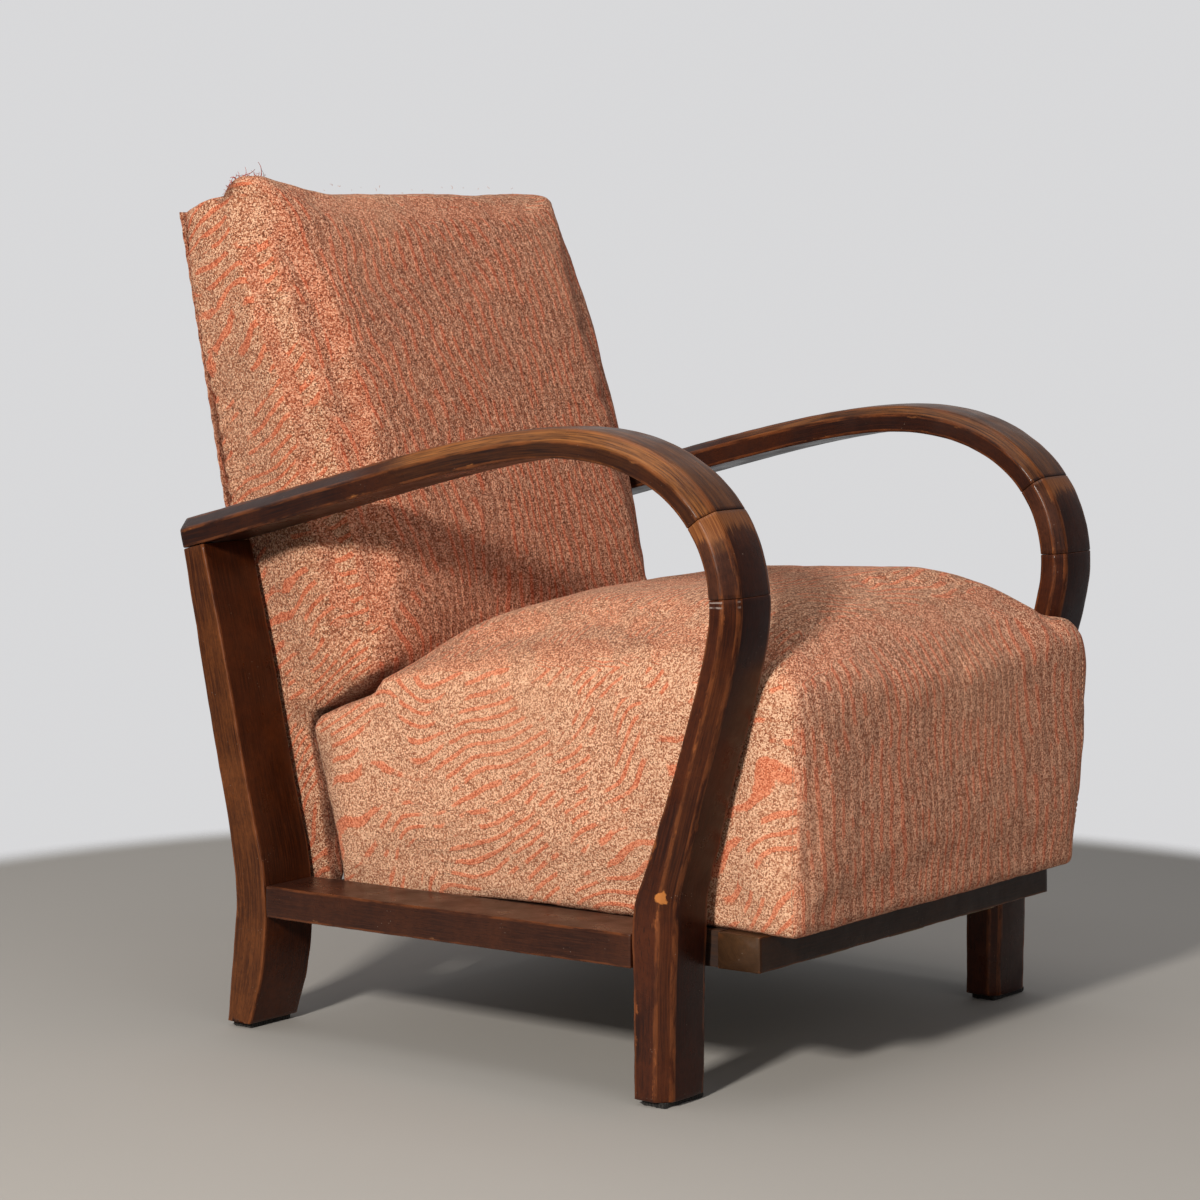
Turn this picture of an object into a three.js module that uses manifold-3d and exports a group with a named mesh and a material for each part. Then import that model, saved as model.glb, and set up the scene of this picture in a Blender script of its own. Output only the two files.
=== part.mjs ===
// Old armchair: two shaped wooden side frames, a sprung and stuffed seat on a box of rails,
// and a raked, stuffed back. Millimetres, +Z up, front towards -Y, the sitter's left at +X.
// The origin is on the floor under the middle of the whole chair.

import * as THREE from 'three';
import { mergeVertices } from 'three/addons/utils/BufferGeometryUtils.js';
import Module from 'manifold-3d';

const wasm = await Module();
wasm.setup();

// ---------------------------------------------------------------- driving dimensions

const GAP = 0.3; // clearance between pieces that touch
const HALF_WIDTH = 320; // to the outer faces of the side frames
const FRAME_WIDTH = 70; // every leg, arm and side rail, measured across the chair
const INNER_FACE = HALF_WIDTH - FRAME_WIDTH;
const FRAME_MIDDLE = HALF_WIDTH - FRAME_WIDTH / 2;

// bevels along the arm and front leg: across the chair, then into the thickness
const OUTER_BEVEL = [12.5, 11.5];
const INNER_BEVEL = [9, 9];

const PAD_HEIGHT = 5; // felt pads under the feet
const WOOD_BOTTOM = PAD_HEIGHT + GAP;

const RAIL_HEIGHT = 32; // outer side rails
const RAIL_FRONT = [-253.4, 126.6]; // [y, z] of the bottom front corner of a side rail
const RAIL_REAR = [206.2, 117.4];

const BOX_ORIGIN = [-328, 123]; // [y, z] of the seat box: middle of the front rail, underside
const BOX_SLOPE = 0.0175; // the seat box falls gently towards the rear
const BOX_HEIGHT = 34;
const FRONT_RAIL_HALF = 254;
const FRONT_RAIL_DEPTH = 48;
const BOX_LENGTH = 503; // from the middle of the front rail to the rear end
const BOX_RAIL = 32; // thickness of the inner rails
const BOX_OUTER = INNER_FACE - 0.5;
const BOX_INNER = BOX_OUTER - BOX_RAIL;

const STRAP_WIDTH = 60;
const STRAP_THICKNESS = 2;
const STRAP_X = [-130, 0, 130]; // straps and springs share these rows and columns
const STRAP_Y = [112, 242, 372];
const SPRING_HEIGHT = 150;

const SEAT_HALF = INNER_FACE - 0.5;
const SEAT_CROWN = 62; // rise of the seat's middle over its sides

const BACK_FOOT = [259.6, 155]; // [y, z] of the lower end of the back's rear plane
const BACK_RAKE = 0.1998;
const BACK_HEIGHT = 677;
const BACK_HALF = 246;
const BACK_FRAME_HALF = 225.7;
const BACK_FRAME_DEPTH = 28;

// ---------------------------------------------------------------- materials

function finish(colour, roughness, metalness = 0) {
  return new THREE.MeshStandardMaterial({ color: colour, roughness, metalness });
}

const stainedBeech = () => finish(0x4a2416, 0.45);
const plainBeech = () => finish(0xb08a5c, 0.75);
const salmonCover = () => finish(0xb5694f, 0.95);
const jute = () => finish(0x9c8257, 0.95);
const springSteel = () => finish(0x6a6560, 0.4, 0.9);
const feltPad = () => finish(0x1d1a18, 0.95);

// ---------------------------------------------------------------- small tools

const chair = new THREE.Group();
const seatBox = new THREE.Group();
const backGroup = new THREE.Group();
seatBox.position.set(0, BOX_ORIGIN[0], BOX_ORIGIN[1]);
seatBox.rotation.x = -BOX_SLOPE;
backGroup.position.set(0, BACK_FOOT[0], BACK_FOOT[1]);
backGroup.rotation.x = -BACK_RAKE;
chair.add(seatBox, backGroup);

function add(parent, name, geometry, material) {
  const piece = new THREE.Mesh(geometry, material);
  piece.name = name;
  parent.add(piece);
  return piece;
}

function bareGeometry(geometry) {
  const bare = geometry.clone();
  bare.deleteAttribute('normal');
  bare.deleteAttribute('uv');
  return mergeVertices(bare, 1e-4);
}

function flipFaces(geometry) {
  const index = geometry.index.array;
  for (let i = 0; i < index.length; i += 3) {
    [index[i + 1], index[i + 2]] = [index[i + 2], index[i + 1]];
  }
  return geometry;
}

function mirrored(geometry) {
  const copy = bareGeometry(geometry);
  copy.scale(-1, 1, 1);
  return flipFaces(copy);
}

function toSolid(geometry) {
  const bare = bareGeometry(geometry);
  const vertProperties = new Float32Array(bare.attributes.position.array);
  const triVerts = new Uint32Array(bare.index.array);
  return new wasm.Manifold(new wasm.Mesh({ numProp: 3, vertProperties, triVerts }));
}

function fromSolid(solid) {
  const cut = solid.getMesh();
  const geometry = new THREE.BufferGeometry();
  geometry.setAttribute('position', new THREE.BufferAttribute(new Float32Array(cut.vertProperties), 3));
  geometry.setIndex(new THREE.BufferAttribute(new Uint32Array(cut.triVerts), 1));
  return geometry;
}

function cut(geometry, ...tools) {
  let solid = toSolid(geometry);
  for (const tool of tools) {
    solid = solid.subtract(toSolid(tool));
  }
  return fromSolid(solid);
}

function box(x0, x1, y0, y1, z0, z1) {
  const geometry = new THREE.BoxGeometry(x1 - x0, y1 - y0, z1 - z0);
  geometry.translate((x0 + x1) / 2, (y0 + y1) / 2, (z0 + z1) / 2);
  return geometry;
}

// an outline in the Y-Z plane, extruded across the chair from x0 to x1
function acrossChair(outline, x0, x1, steps = 1) {
  const shape = new THREE.Shape(outline.map(([y, z]) => new THREE.Vector2(y, z)));
  const geometry = new THREE.ExtrudeGeometry(shape, { depth: x1 - x0, steps, bevelEnabled: false });
  const turn = new THREE.Matrix4().set(0, 0, 1, x0, 1, 0, 0, 0, 0, 1, 0, 0, 0, 0, 0, 1);
  return geometry.applyMatrix4(turn);
}

// a rod from one point to another
function rod(from, to, radius, sides = 12) {
  const start = new THREE.Vector3(...from);
  const along = new THREE.Vector3(...to).sub(start);
  const geometry = new THREE.CylinderGeometry(radius, radius, along.length(), sides);
  const turn = new THREE.Quaternion().setFromUnitVectors(
    new THREE.Vector3(0, 1, 0),
    along.clone().normalize(),
  );
  geometry.applyQuaternion(turn);
  const middle = start.addScaledVector(along, 0.5);
  return geometry.translate(middle.x, middle.y, middle.z);
}

// a closed skin over rings that have the same number of points
function loft(rings) {
  const count = rings[0].length;
  const points = rings.flat();
  const index = [];
  for (let ring = 0; ring + 1 < rings.length; ring += 1) {
    for (let side = 0; side < count; side += 1) {
      const a = ring * count + side;
      const b = ring * count + ((side + 1) % count);
      index.push(a, b, a + count, b, b + count, a + count);
    }
  }
  const last = (rings.length - 1) * count;
  for (let side = 1; side + 1 < count; side += 1) {
    index.push(0, side + 1, side);
    index.push(last, last + side, last + side + 1);
  }
  const geometry = new THREE.BufferGeometry().setFromPoints(points);
  geometry.setIndex(index);
  return geometry;
}

// ---------------------------------------------------------------- arm and front leg

// The arm, its bend and the front leg follow one line in the side view. Each stretch is a
// curve in [y, z] with the thickness of the wood at its two ends.
const point = (y, z) => new THREE.Vector2(y, z);
const ARM_END = point(319.7, 495.9);
const ARM_TOP = point(-170, 604);
const ARM_FRONT = point(-353.3, 458.7);
const LEG_SLANT = point(-317.6, 315.8);
const KNEE_TOP = point(-290, 228);
const KNEE_LOW = point(-275, 160);
const SHIN = point(-275, 108);
const FOOT = point(-275, WOOD_BOTTOM);

const armRise = new THREE.CubicBezierCurve(ARM_END, point(103.5, 549.9), point(-66.6, 604), ARM_TOP);
const armBend = new THREE.CubicBezierCurve(ARM_TOP, point(-280.9, 604), point(-353.3, 548), ARM_FRONT);
const legSwell = new THREE.CubicBezierCurve(ARM_FRONT, point(-353.3, 424.9), point(-329.8, 357.2), LEG_SLANT);
const legSlope = new THREE.LineCurve(LEG_SLANT, KNEE_TOP);
const legKnee = new THREE.CubicBezierCurve(KNEE_TOP, point(-282.5, 204), point(-275, 190), KNEE_LOW);
const legShin = new THREE.LineCurve(KNEE_LOW, SHIN);
const legFoot = new THREE.LineCurve(SHIN, FOOT);

const UPPER_JOINT = 0.64; // places along armBend where the wood is joined
const LOWER_JOINT = 0.95;

const stretch = (curve, from, to, thick0, thick1, steps) => ({ curve, from, to, thick0, thick1, steps });
const PIECES = {
  upper_arm: [
    stretch(armRise, 0, 1, 30, 27.5, 14),
    stretch(armBend, 0, UPPER_JOINT, 27.5, 26.5, 8),
  ],
  arm_bend: [stretch(armBend, UPPER_JOINT, LOWER_JOINT, 26.5, 26, 5)],
  front_leg: [
    stretch(armBend, LOWER_JOINT, 1, 26, 26, 1),
    stretch(legSwell, 0, 1, 26, 26.5, 7),
    stretch(legSlope, 0, 1, 26.5, 32, 4),
    stretch(legKnee, 0, 1, 32, 41.5, 5),
    stretch(legShin, 0, 1, 41.5, 37.5, 2),
    stretch(legFoot, 0, 1, 37.5, 35.5, 1),
  ],
};

// the six-sided section: flat underside, upright sides, bevelled upper edges
function armRing(centre, normal, thickness) {
  const low = -thickness / 2;
  const high = thickness / 2;
  const section = [
    [INNER_FACE, low],
    [HALF_WIDTH, low],
    [HALF_WIDTH, high - OUTER_BEVEL[1]],
    [HALF_WIDTH - OUTER_BEVEL[0], high],
    [INNER_FACE + INNER_BEVEL[0], high],
    [INNER_FACE, high - INNER_BEVEL[1]],
  ];
  return section.map(([x, n]) => new THREE.Vector3(x, centre.x + normal.x * n, centre.y + normal.y * n));
}

function armRings(stretches) {
  const rings = [];
  stretches.forEach(({ curve, from, to, thick0, thick1, steps }, order) => {
    for (let i = order === 0 ? 0 : 1; i <= steps; i += 1) {
      const share = i / steps;
      const t = from + (to - from) * share;
      const tangent = curve.getTangent(t);
      const normal = point(tangent.y, -tangent.x);
      const eased = share * share * (3 - 2 * share);
      rings.push(armRing(curve.getPoint(t), normal, thick0 + (thick1 - thick0) * eased));
    }
  });
  return rings;
}

// start and end of a dowel across a joint of the bend, on the middle of the wood
function dowelEnds(t, x, reach) {
  const middle = armBend.getPoint(t);
  const tangent = armBend.getTangent(t);
  return [-1, 1].map((way) => [
    x,
    middle.x + tangent.x * reach * way,
    middle.y + tangent.y * reach * way,
  ]);
}

const DOWEL_RADIUS = 4.5;
const DOWEL_REACH = 22;
const DOWELS = [
  ['upper_dowel_outer', UPPER_JOINT, FRAME_MIDDLE + 15],
  ['upper_dowel_inner', UPPER_JOINT, FRAME_MIDDLE - 15],
  ['lower_dowel_outer', LOWER_JOINT, FRAME_MIDDLE + 15],
  ['lower_dowel_inner', LOWER_JOINT, FRAME_MIDDLE - 15],
];

function dowel([, t, x]) {
  return rod(...dowelEnds(t, x, DOWEL_REACH), DOWEL_RADIUS);
}

function dowelHole([, t, x]) {
  return rod(...dowelEnds(t, x, DOWEL_REACH + GAP), DOWEL_RADIUS + GAP);
}

// cuts the last GAP off the end of a stretch, so that joined pieces don't share a face
function shortened(stretches) {
  const list = stretches.map((item) => ({ ...item }));
  const end = list[list.length - 1];
  end.to -= GAP / end.curve.getLength();
  return list;
}

function armPiece(name) {
  const stretches = name === 'front_leg' ? PIECES[name] : shortened(PIECES[name]);
  return cut(loft(armRings(stretches)), ...DOWELS.map(dowelHole));
}

// ---------------------------------------------------------------- rear leg

// sabre shape in [y, z], from the cut under the arm down the rear edge and up the front edge
const REAR_EDGE = [[316, 480.6], [295, 380], [274, 281], [258.5, 215], [250.3, 164], [247.6, 132], [250, 100], [262, 0]];
const FRONT_EDGE = [[232, 0], [215, 52], [207.4, 108], [210.7, 169], [223.2, 219], [239, 284], [261.5, 383], [288.5, 487.4]];

function smoothEdge(points, steps) {
  const curve = new THREE.SplineCurve(points.map(([y, z]) => point(y, z)));
  return curve.getPoints(steps).map((p) => [p.x, p.y]);
}

function rearLeg() {
  const outline = [...smoothEdge(REAR_EDGE, 21), ...smoothEdge(FRONT_EDGE, 21)];
  const leg = acrossChair(outline, INNER_FACE, HALF_WIDTH);
  return cut(leg, box(INNER_FACE - 5, HALF_WIDTH + 5, 150, 400, -20, WOOD_BOTTOM));
}

// ---------------------------------------------------------------- side rail and feet

const SCREW_RADIUS = 4;
const SCREW_HEAD_RADIUS = 7;
const SCREW_HEAD = 4;
const SCREW_Y = [120, 360]; // along the seat box
const SCREW_TIP = 276;

// a screw through an inner rail into the outer rail, in the seat box's own axes
function screw(y, extra = 0) {
  const z = BOX_HEIGHT / 2;
  const shank = rod([BOX_INNER - 1, y, z], [SCREW_TIP + extra, y, z], SCREW_RADIUS + extra);
  const head = rod([BOX_INNER - SCREW_HEAD, y, z], [BOX_INNER - GAP, y, z], SCREW_HEAD_RADIUS);
  return extra > 0 ? shank : fromSolid(toSolid(shank).add(toSolid(head)));
}

function inBoxAxes(geometry) {
  seatBox.updateMatrix();
  return geometry.applyMatrix4(seatBox.matrix);
}

function sideRail() {
  const [frontY, frontZ] = RAIL_FRONT;
  const [rearY, rearZ] = RAIL_REAR;
  const outline = [[frontY, frontZ], [rearY, rearZ], [rearY, rearZ + RAIL_HEIGHT], [frontY, frontZ + RAIL_HEIGHT]];
  const holes = SCREW_Y.map((y) => inBoxAxes(screw(y, GAP)));
  return cut(acrossChair(outline, INNER_FACE, HALF_WIDTH), ...holes);
}

function footPad(y0, y1) {
  const inset = 4;
  return box(INNER_FACE + inset, HALF_WIDTH - inset, y0, y1, 0, PAD_HEIGHT);
}

const SIDE_PIECES = [
  ...Object.keys(PIECES).map((name) => [name, armPiece(name), stainedBeech]),
  ['rear_leg', rearLeg(), stainedBeech],
  ['side_rail', sideRail(), stainedBeech],
  ['front_foot_pad', footPad(-290, -261), feltPad],
  ['rear_foot_pad', footPad(233, 259), feltPad],
  ...DOWELS.map((item) => [item[0], dowel(item), plainBeech]),
];

for (const [name, geometry, material] of SIDE_PIECES) {
  add(chair, `left_${name}`, geometry, material());
  add(chair, `right_${name}`, mirrored(geometry), material());
}

// ---------------------------------------------------------------- seat box

const innerRailStart = FRONT_RAIL_DEPTH / 2 + GAP;
const backRailFront = BOX_LENGTH - BOX_RAIL - 3;
const BLOCK_LEG = 58;
const BLOCK_HEIGHT = 26;

function cornerBlock(y, towards) {
  const x = BOX_INNER - GAP;
  const shape = new THREE.Shape([
    new THREE.Vector2(x, y),
    new THREE.Vector2(x - BLOCK_LEG, y),
    new THREE.Vector2(x, y + BLOCK_LEG * towards),
  ]);
  const geometry = new THREE.ExtrudeGeometry(shape, { depth: BLOCK_HEIGHT, bevelEnabled: false });
  return bareGeometry(geometry.translate(0, 0, (BOX_HEIGHT - BLOCK_HEIGHT) / 2));
}

function innerSideRail() {
  const rail = box(BOX_INNER, BOX_OUTER, innerRailStart, BOX_LENGTH, 0, BOX_HEIGHT);
  return cut(rail, ...SCREW_Y.map((y) => screw(y, GAP)));
}

const halfDepth = FRONT_RAIL_DEPTH / 2;
add(seatBox, 'front_rail', box(-FRONT_RAIL_HALF, FRONT_RAIL_HALF, -halfDepth, halfDepth, 0, BOX_HEIGHT), stainedBeech());
const backRail = box(GAP - BOX_INNER, BOX_INNER - GAP, backRailFront, backRailFront + BOX_RAIL, 0, BOX_HEIGHT);
add(seatBox, 'seat_back_rail', backRail, plainBeech());

const BOX_PAIRS = [
  ['seat_side_rail', innerSideRail(), plainBeech],
  ['front_corner_block', cornerBlock(innerRailStart, 1), plainBeech],
  ['rear_corner_block', cornerBlock(backRailFront - GAP, -1), plainBeech],
  ...SCREW_Y.map((y, i) => [`frame_screw_${i + 1}`, screw(y), springSteel]),
];

for (const [name, geometry, material] of BOX_PAIRS) {
  add(seatBox, `left_${name}`, geometry, material());
  add(seatBox, `right_${name}`, mirrored(geometry), material());
}

// ---------------------------------------------------------------- webbing, springs, canvas

const strapTop = -GAP;
const crossTop = strapTop - STRAP_THICKNESS - GAP;

STRAP_X.forEach((x, i) => {
  const half = STRAP_WIDTH / 2;
  const strap = box(x - half, x + half, 6 - halfDepth, BOX_LENGTH - 8, strapTop - STRAP_THICKNESS, strapTop);
  add(seatBox, `long_strap_${i + 1}`, strap, jute());
});

STRAP_Y.forEach((y, i) => {
  const half = STRAP_WIDTH / 2;
  const reach = BOX_OUTER - 6;
  const strap = box(-reach, reach, y - half, y + half, crossTop - STRAP_THICKNESS, crossTop);
  add(seatBox, `cross_strap_${i + 1}`, strap, jute());
});

// hourglass coil: wide at both ends, waisted in the middle
class SpringCurve extends THREE.Curve {
  constructor(height, turns, endRadius, waistRadius) {
    super();
    Object.assign(this, { height, turns, endRadius, waistRadius });
  }

  getPoint(t, target = new THREE.Vector3()) {
    const angle = 2 * Math.PI * this.turns * t;
    const flare = (2 * t - 1) ** 2;
    const radius = this.waistRadius + (this.endRadius - this.waistRadius) * flare;
    return target.set(radius * Math.cos(angle), radius * Math.sin(angle), this.height * t);
  }
}

const WIRE_RADIUS = 1.8;

function coilSpring() {
  const wire = new THREE.Shape();
  for (let i = 0; i < 5; i += 1) {
    const angle = (2 * Math.PI * i) / 5;
    const corner = [WIRE_RADIUS * Math.cos(angle), WIRE_RADIUS * Math.sin(angle)];
    if (i === 0) wire.moveTo(...corner);
    else wire.lineTo(...corner);
  }
  const path = new SpringCurve(SPRING_HEIGHT - 3 * WIRE_RADIUS, 4.5, 36, 25);
  const geometry = new THREE.ExtrudeGeometry(wire, { steps: 50, extrudePath: path, bevelEnabled: false });
  return geometry.translate(0, 0, 1.5 * WIRE_RADIUS);
}

STRAP_Y.forEach((y, row) => {
  STRAP_X.forEach((x, column) => {
    const spring = coilSpring().translate(x, y, 0);
    add(seatBox, `seat_spring_${row * STRAP_X.length + column + 1}`, spring, springSteel());
  });
});

const canvasTop = SPRING_HEIGHT + 3;
add(seatBox, 'seat_canvas', box(-205, 205, 38, 455, SPRING_HEIGHT + 1, canvasTop), jute());

// ---------------------------------------------------------------- stuffed seat

// side view of the stuffed seat, and how much of the crown each corner takes
const SEAT_OUTLINE = [
  [176, 150.5, 0],
  [216, 309, 0],
  [129, 346.5, 0],
  [125, 352, 1],
  [60, 371, 1],
  [-60, 388, 1],
  [-200, 398, 1],
  [-320, 402, 1],
  [-360, 396, 0.9],
  [-384, 376, 0.55],
  [-395, 345, 0.1],
  [-394, 250, 0],
  [-390, 160.5, 0],
];

function stuffedSeat() {
  const outline = SEAT_OUTLINE.map(([y, z]) => [y, z]);
  const seat = acrossChair(outline.reverse(), -SEAT_HALF, SEAT_HALF, 12);
  const position = seat.attributes.position;
  const rise = new Map(SEAT_OUTLINE.map(([y, z, share]) => [`${y} ${z}`, share]));
  for (let i = 0; i < position.count; i += 1) {
    const y = Math.round(position.getY(i) * 10) / 10;
    const z = Math.round(position.getZ(i) * 10) / 10;
    const across = Math.abs(position.getX(i) / SEAT_HALF);
    position.setZ(i, z + SEAT_CROWN * rise.get(`${y} ${z}`) * (1 - across ** 3));
  }
  const hollow = inBoxAxes(box(-212, 212, 34, 462, 0, canvasTop + GAP));
  return cut(seat, hollow);
}

add(chair, 'seat_upholstery', stuffedSeat(), salmonCover());

// ---------------------------------------------------------------- back

// side view of the stuffed back in its own axes: y = 0 is the rear plane, z runs up the rake
const BACK_OUTLINE = [
  [0, -5],
  [0, BACK_HEIGHT],
  [-50, 686],
  [-96, 690],
  [-109, 676],
  [-114, 637],
  [-126, 560],
  [-145, 455],
  [-159, 332],
  [-165, 236],
  [-162, 170],
  [-68, 149],
  [-74, -5],
];

const FRAME_LOW = 6;
const FRAME_HIGH = 667;
const STILE = 36;
const RAIL = 40;
const MIDDLE_RAIL = 300;
const PANEL = 2.3;

function stuffedBack() {
  const back = acrossChair([...BACK_OUTLINE].reverse(), -BACK_HALF, BACK_HALF);
  const half = BACK_FRAME_HALF + GAP;
  const hollow = box(-half, half, -BACK_FRAME_DEPTH - 6, 1, FRAME_LOW - GAP, FRAME_HIGH + GAP);
  return cut(back, hollow);
}

const stileInner = BACK_FRAME_HALF - STILE;
const frameRear = -2;
const frameFront = frameRear - BACK_FRAME_DEPTH;
const stile = box(stileInner, BACK_FRAME_HALF, frameFront, frameRear, FRAME_LOW, FRAME_HIGH);
add(backGroup, 'left_back_stile', stile, plainBeech());
add(backGroup, 'right_back_stile', mirrored(stile), plainBeech());

const BACK_RAILS = [
  ['back_bottom_rail', FRAME_LOW],
  ['back_middle_rail', MIDDLE_RAIL],
  ['back_top_rail', FRAME_HIGH - RAIL],
];

for (const [name, z] of BACK_RAILS) {
  const reach = stileInner - GAP;
  add(backGroup, name, box(-reach, reach, frameFront, frameRear, z, z + RAIL), plainBeech());
}

const canvasRear = frameFront - GAP;
const backCanvas = box(-BACK_FRAME_HALF, BACK_FRAME_HALF, canvasRear - 2, canvasRear, FRAME_LOW, FRAME_HIGH);
add(backGroup, 'back_canvas', backCanvas, jute());
add(backGroup, 'back_upholstery', stuffedBack(), salmonCover());
const panelHalf = BACK_HALF - 2;
add(backGroup, 'outer_back', box(-panelHalf, panelHalf, GAP, PANEL, -3, BACK_HEIGHT - 6), salmonCover());

export default chair;
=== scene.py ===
"""Old armchair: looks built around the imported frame.

Metres, +Z up, front towards -Y, the sitter's left at +X. Every piece rides on body "root".
"""

import logging
import math
from dataclasses import dataclass
from enum import Enum
from typing import Callable, Sequence

import bmesh
import bpy
import numpy as np
from mathutils import Matrix, Vector
from mathutils.noise import noise as smooth_noise


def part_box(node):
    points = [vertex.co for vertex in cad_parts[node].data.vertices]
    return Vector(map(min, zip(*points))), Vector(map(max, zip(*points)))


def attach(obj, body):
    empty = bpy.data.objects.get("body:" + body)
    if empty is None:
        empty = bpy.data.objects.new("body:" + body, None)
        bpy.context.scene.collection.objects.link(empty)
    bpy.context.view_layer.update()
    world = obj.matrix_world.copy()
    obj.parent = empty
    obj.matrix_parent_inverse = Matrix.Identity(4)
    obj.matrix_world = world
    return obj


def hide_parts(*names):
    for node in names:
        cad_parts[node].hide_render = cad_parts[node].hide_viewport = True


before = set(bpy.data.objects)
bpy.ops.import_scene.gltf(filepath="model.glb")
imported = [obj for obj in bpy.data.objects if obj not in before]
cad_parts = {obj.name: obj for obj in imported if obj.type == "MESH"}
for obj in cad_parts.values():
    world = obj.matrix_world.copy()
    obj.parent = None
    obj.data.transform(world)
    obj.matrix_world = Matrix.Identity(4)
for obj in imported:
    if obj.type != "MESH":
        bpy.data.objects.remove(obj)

LOG = logging.getLogger("armchair")
BODY = "root"
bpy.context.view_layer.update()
FINE_MERGE = 1e-9  # for pieces whose points lie very close together
TACK_PITCH = 0.021
THREAD_RADIUS = 0.00062
SEAT_SLOPE = 0.0175
SEAT_ORIGIN = (-0.328, 0.123)
Pair = tuple[float, float]
Triple = tuple[float, float, float]
Colour = Triple
Outline = Sequence[Pair]
Numbers = Sequence[float]
Piece = bpy.types.Object
Material = bpy.types.Material
Node = bpy.types.Node
Socket = bpy.types.NodeSocket


class Side(Enum):
    """The two sides of the chair, as the sign of X."""

    RIGHT = -1
    LEFT = 1

    @property
    def prefix(self) -> str:
        """Start of the names of this side's nodes."""
        return self.name.lower()


# ---------------------------------------------------------------- node graphs


class Graph:
    """Builds one material's nodes around a Principled shader."""

    def __init__(self, name: str, roughness: float, sheen: float = 0.0, shine: float = 0.5) -> None:
        """Starts a material.

        Args:
            name: Name of the material.
            roughness: Roughness where nothing else is linked.
            sheen: Sheen weight of cloth.
            shine: Strength of the mirror-like reflection.
        """
        self.material = bpy.data.materials.new(name)
        self.material.use_nodes = True
        self.tree = self.material.node_tree
        self.tree.nodes.clear()
        self.shader = self.tree.nodes.new("ShaderNodeBsdfPrincipled")
        output = self.tree.nodes.new("ShaderNodeOutputMaterial")
        self.tree.links.new(self.shader.outputs["BSDF"], output.inputs["Surface"])
        self.shader.inputs["Roughness"].default_value = roughness
        self.shader.inputs["Sheen Weight"].default_value = sheen
        self.shader.inputs["Sheen Roughness"].default_value = 0.5
        self.shader.inputs["Specular IOR Level"].default_value = shine
        self.place = self.new("ShaderNodeTexCoord").outputs["Object"]

    def new(self, kind: str, **settings: object) -> Node:
        """Adds a node with the given settings.

        Args:
            kind: Type of the node.
            **settings: Its properties.

        Returns:
            The node.
        """
        node = self.tree.nodes.new(kind)
        for key, value in settings.items():
            setattr(node, key, value)
        return node

    def feed(self, socket: Socket, value: object) -> None:
        """Links a socket to an output, or sets its value.

        Args:
            socket: Input to fill.
            value: An output or a constant.
        """
        if isinstance(value, Socket):
            self.tree.links.new(value, socket)
        elif isinstance(value, tuple) and len(value) == 3 and socket.type == "RGBA":
            socket.default_value = (*value, 1.0)
        else:
            socket.default_value = value

    def math(self, operation: str, *values: object, clamp: bool = False) -> Socket:
        """A Math node of one to three inputs.

        Args:
            operation: Name of the operation.
            *values: Outputs or constants.
            clamp: Whether the result is kept from 0 to 1.

        Returns:
            The result.
        """
        node = self.new("ShaderNodeMath", operation=operation, use_clamp=clamp)
        for socket, value in zip(node.inputs, values):
            self.feed(socket, value)
        return node.outputs[0]

    def times(self, *values: object) -> Socket:
        """The product of two inputs."""
        return self.math("MULTIPLY", *values)

    def blend(self, value: object, factor: object, offset: object) -> Socket:
        """A value times a factor, plus an offset."""
        return self.math("MULTIPLY_ADD", value, factor, offset)

    def mix(self, share: object, first: object, second: object, blend: str = "MIX") -> Socket:
        """A colour mix.

        Args:
            share: Share of the second colour.
            first: First colour.
            second: Second colour.
            blend: Way of mixing.

        Returns:
            The mixed colour.
        """
        node = self.new("ShaderNodeMix", data_type="RGBA", blend_type=blend)
        for index, value in ((0, share), (6, first), (7, second)):
            self.feed(node.inputs[index], value)
        return node.outputs[2]

    def ramp(self, value: object, *stops: tuple[float, object]) -> Socket:
        """A colour ramp; a number in place of a colour gives that grey.

        Args:
            value: Place on the ramp.
            *stops: Positions and their colours.

        Returns:
            The colour.
        """
        node = self.new("ShaderNodeValToRGB")
        elements = node.color_ramp.elements
        while len(elements) < len(stops):
            elements.new(0.5)
        for element, (position, colour) in zip(elements, stops):
            element.position = position
            element.color = (*colour, 1.0) if isinstance(colour, tuple) else (colour, colour, colour, 1.0)
        self.feed(node.inputs[0], value)
        return node.outputs[0]

    def step(self, value: object, low: float, high: float) -> Socket:
        """Rises smoothly from 0 at low to 1 at high.

        Args:
            value: What is compared.
            low: Value that gives 0.
            high: Value that gives 1.

        Returns:
            The share.
        """
        node = self.new("ShaderNodeMapRange", interpolation_type="SMOOTHSTEP")
        for index, entry in enumerate((value, low, high, 0.0, 1.0)):
            self.feed(node.inputs[index], entry)
        return node.outputs[0]

    def noise(
        self, vector: object, scale: float, detail: float = 2.0, rough: float = 0.5, twist: float = 0.0
    ) -> Socket:
        """Noise value of a vector.

        Args:
            vector: Where the noise is read.
            scale: Lumps to a unit.
            detail: Number of finer layers.
            rough: Strength of the finer layers.
            twist: Distortion.

        Returns:
            The noise, from 0 to 1.
        """
        node = self.new("ShaderNodeTexNoise")
        names = ("Vector", "Scale", "Detail", "Roughness", "Distortion")
        for name, value in zip(names, (vector, scale, detail, rough, twist)):
            self.feed(node.inputs[name], value)
        return node.outputs["Fac"]

    def cells(self, vector: object, scale: float) -> Node:
        """A Voronoi node, with outputs Distance and Color.

        Args:
            vector: Where the cells are read.
            scale: Cells to a unit.

        Returns:
            The node.
        """
        node = self.new("ShaderNodeTexVoronoi", feature="F1")
        self.feed(node.inputs["Vector"], vector)
        self.feed(node.inputs["Scale"], scale)
        return node

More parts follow.
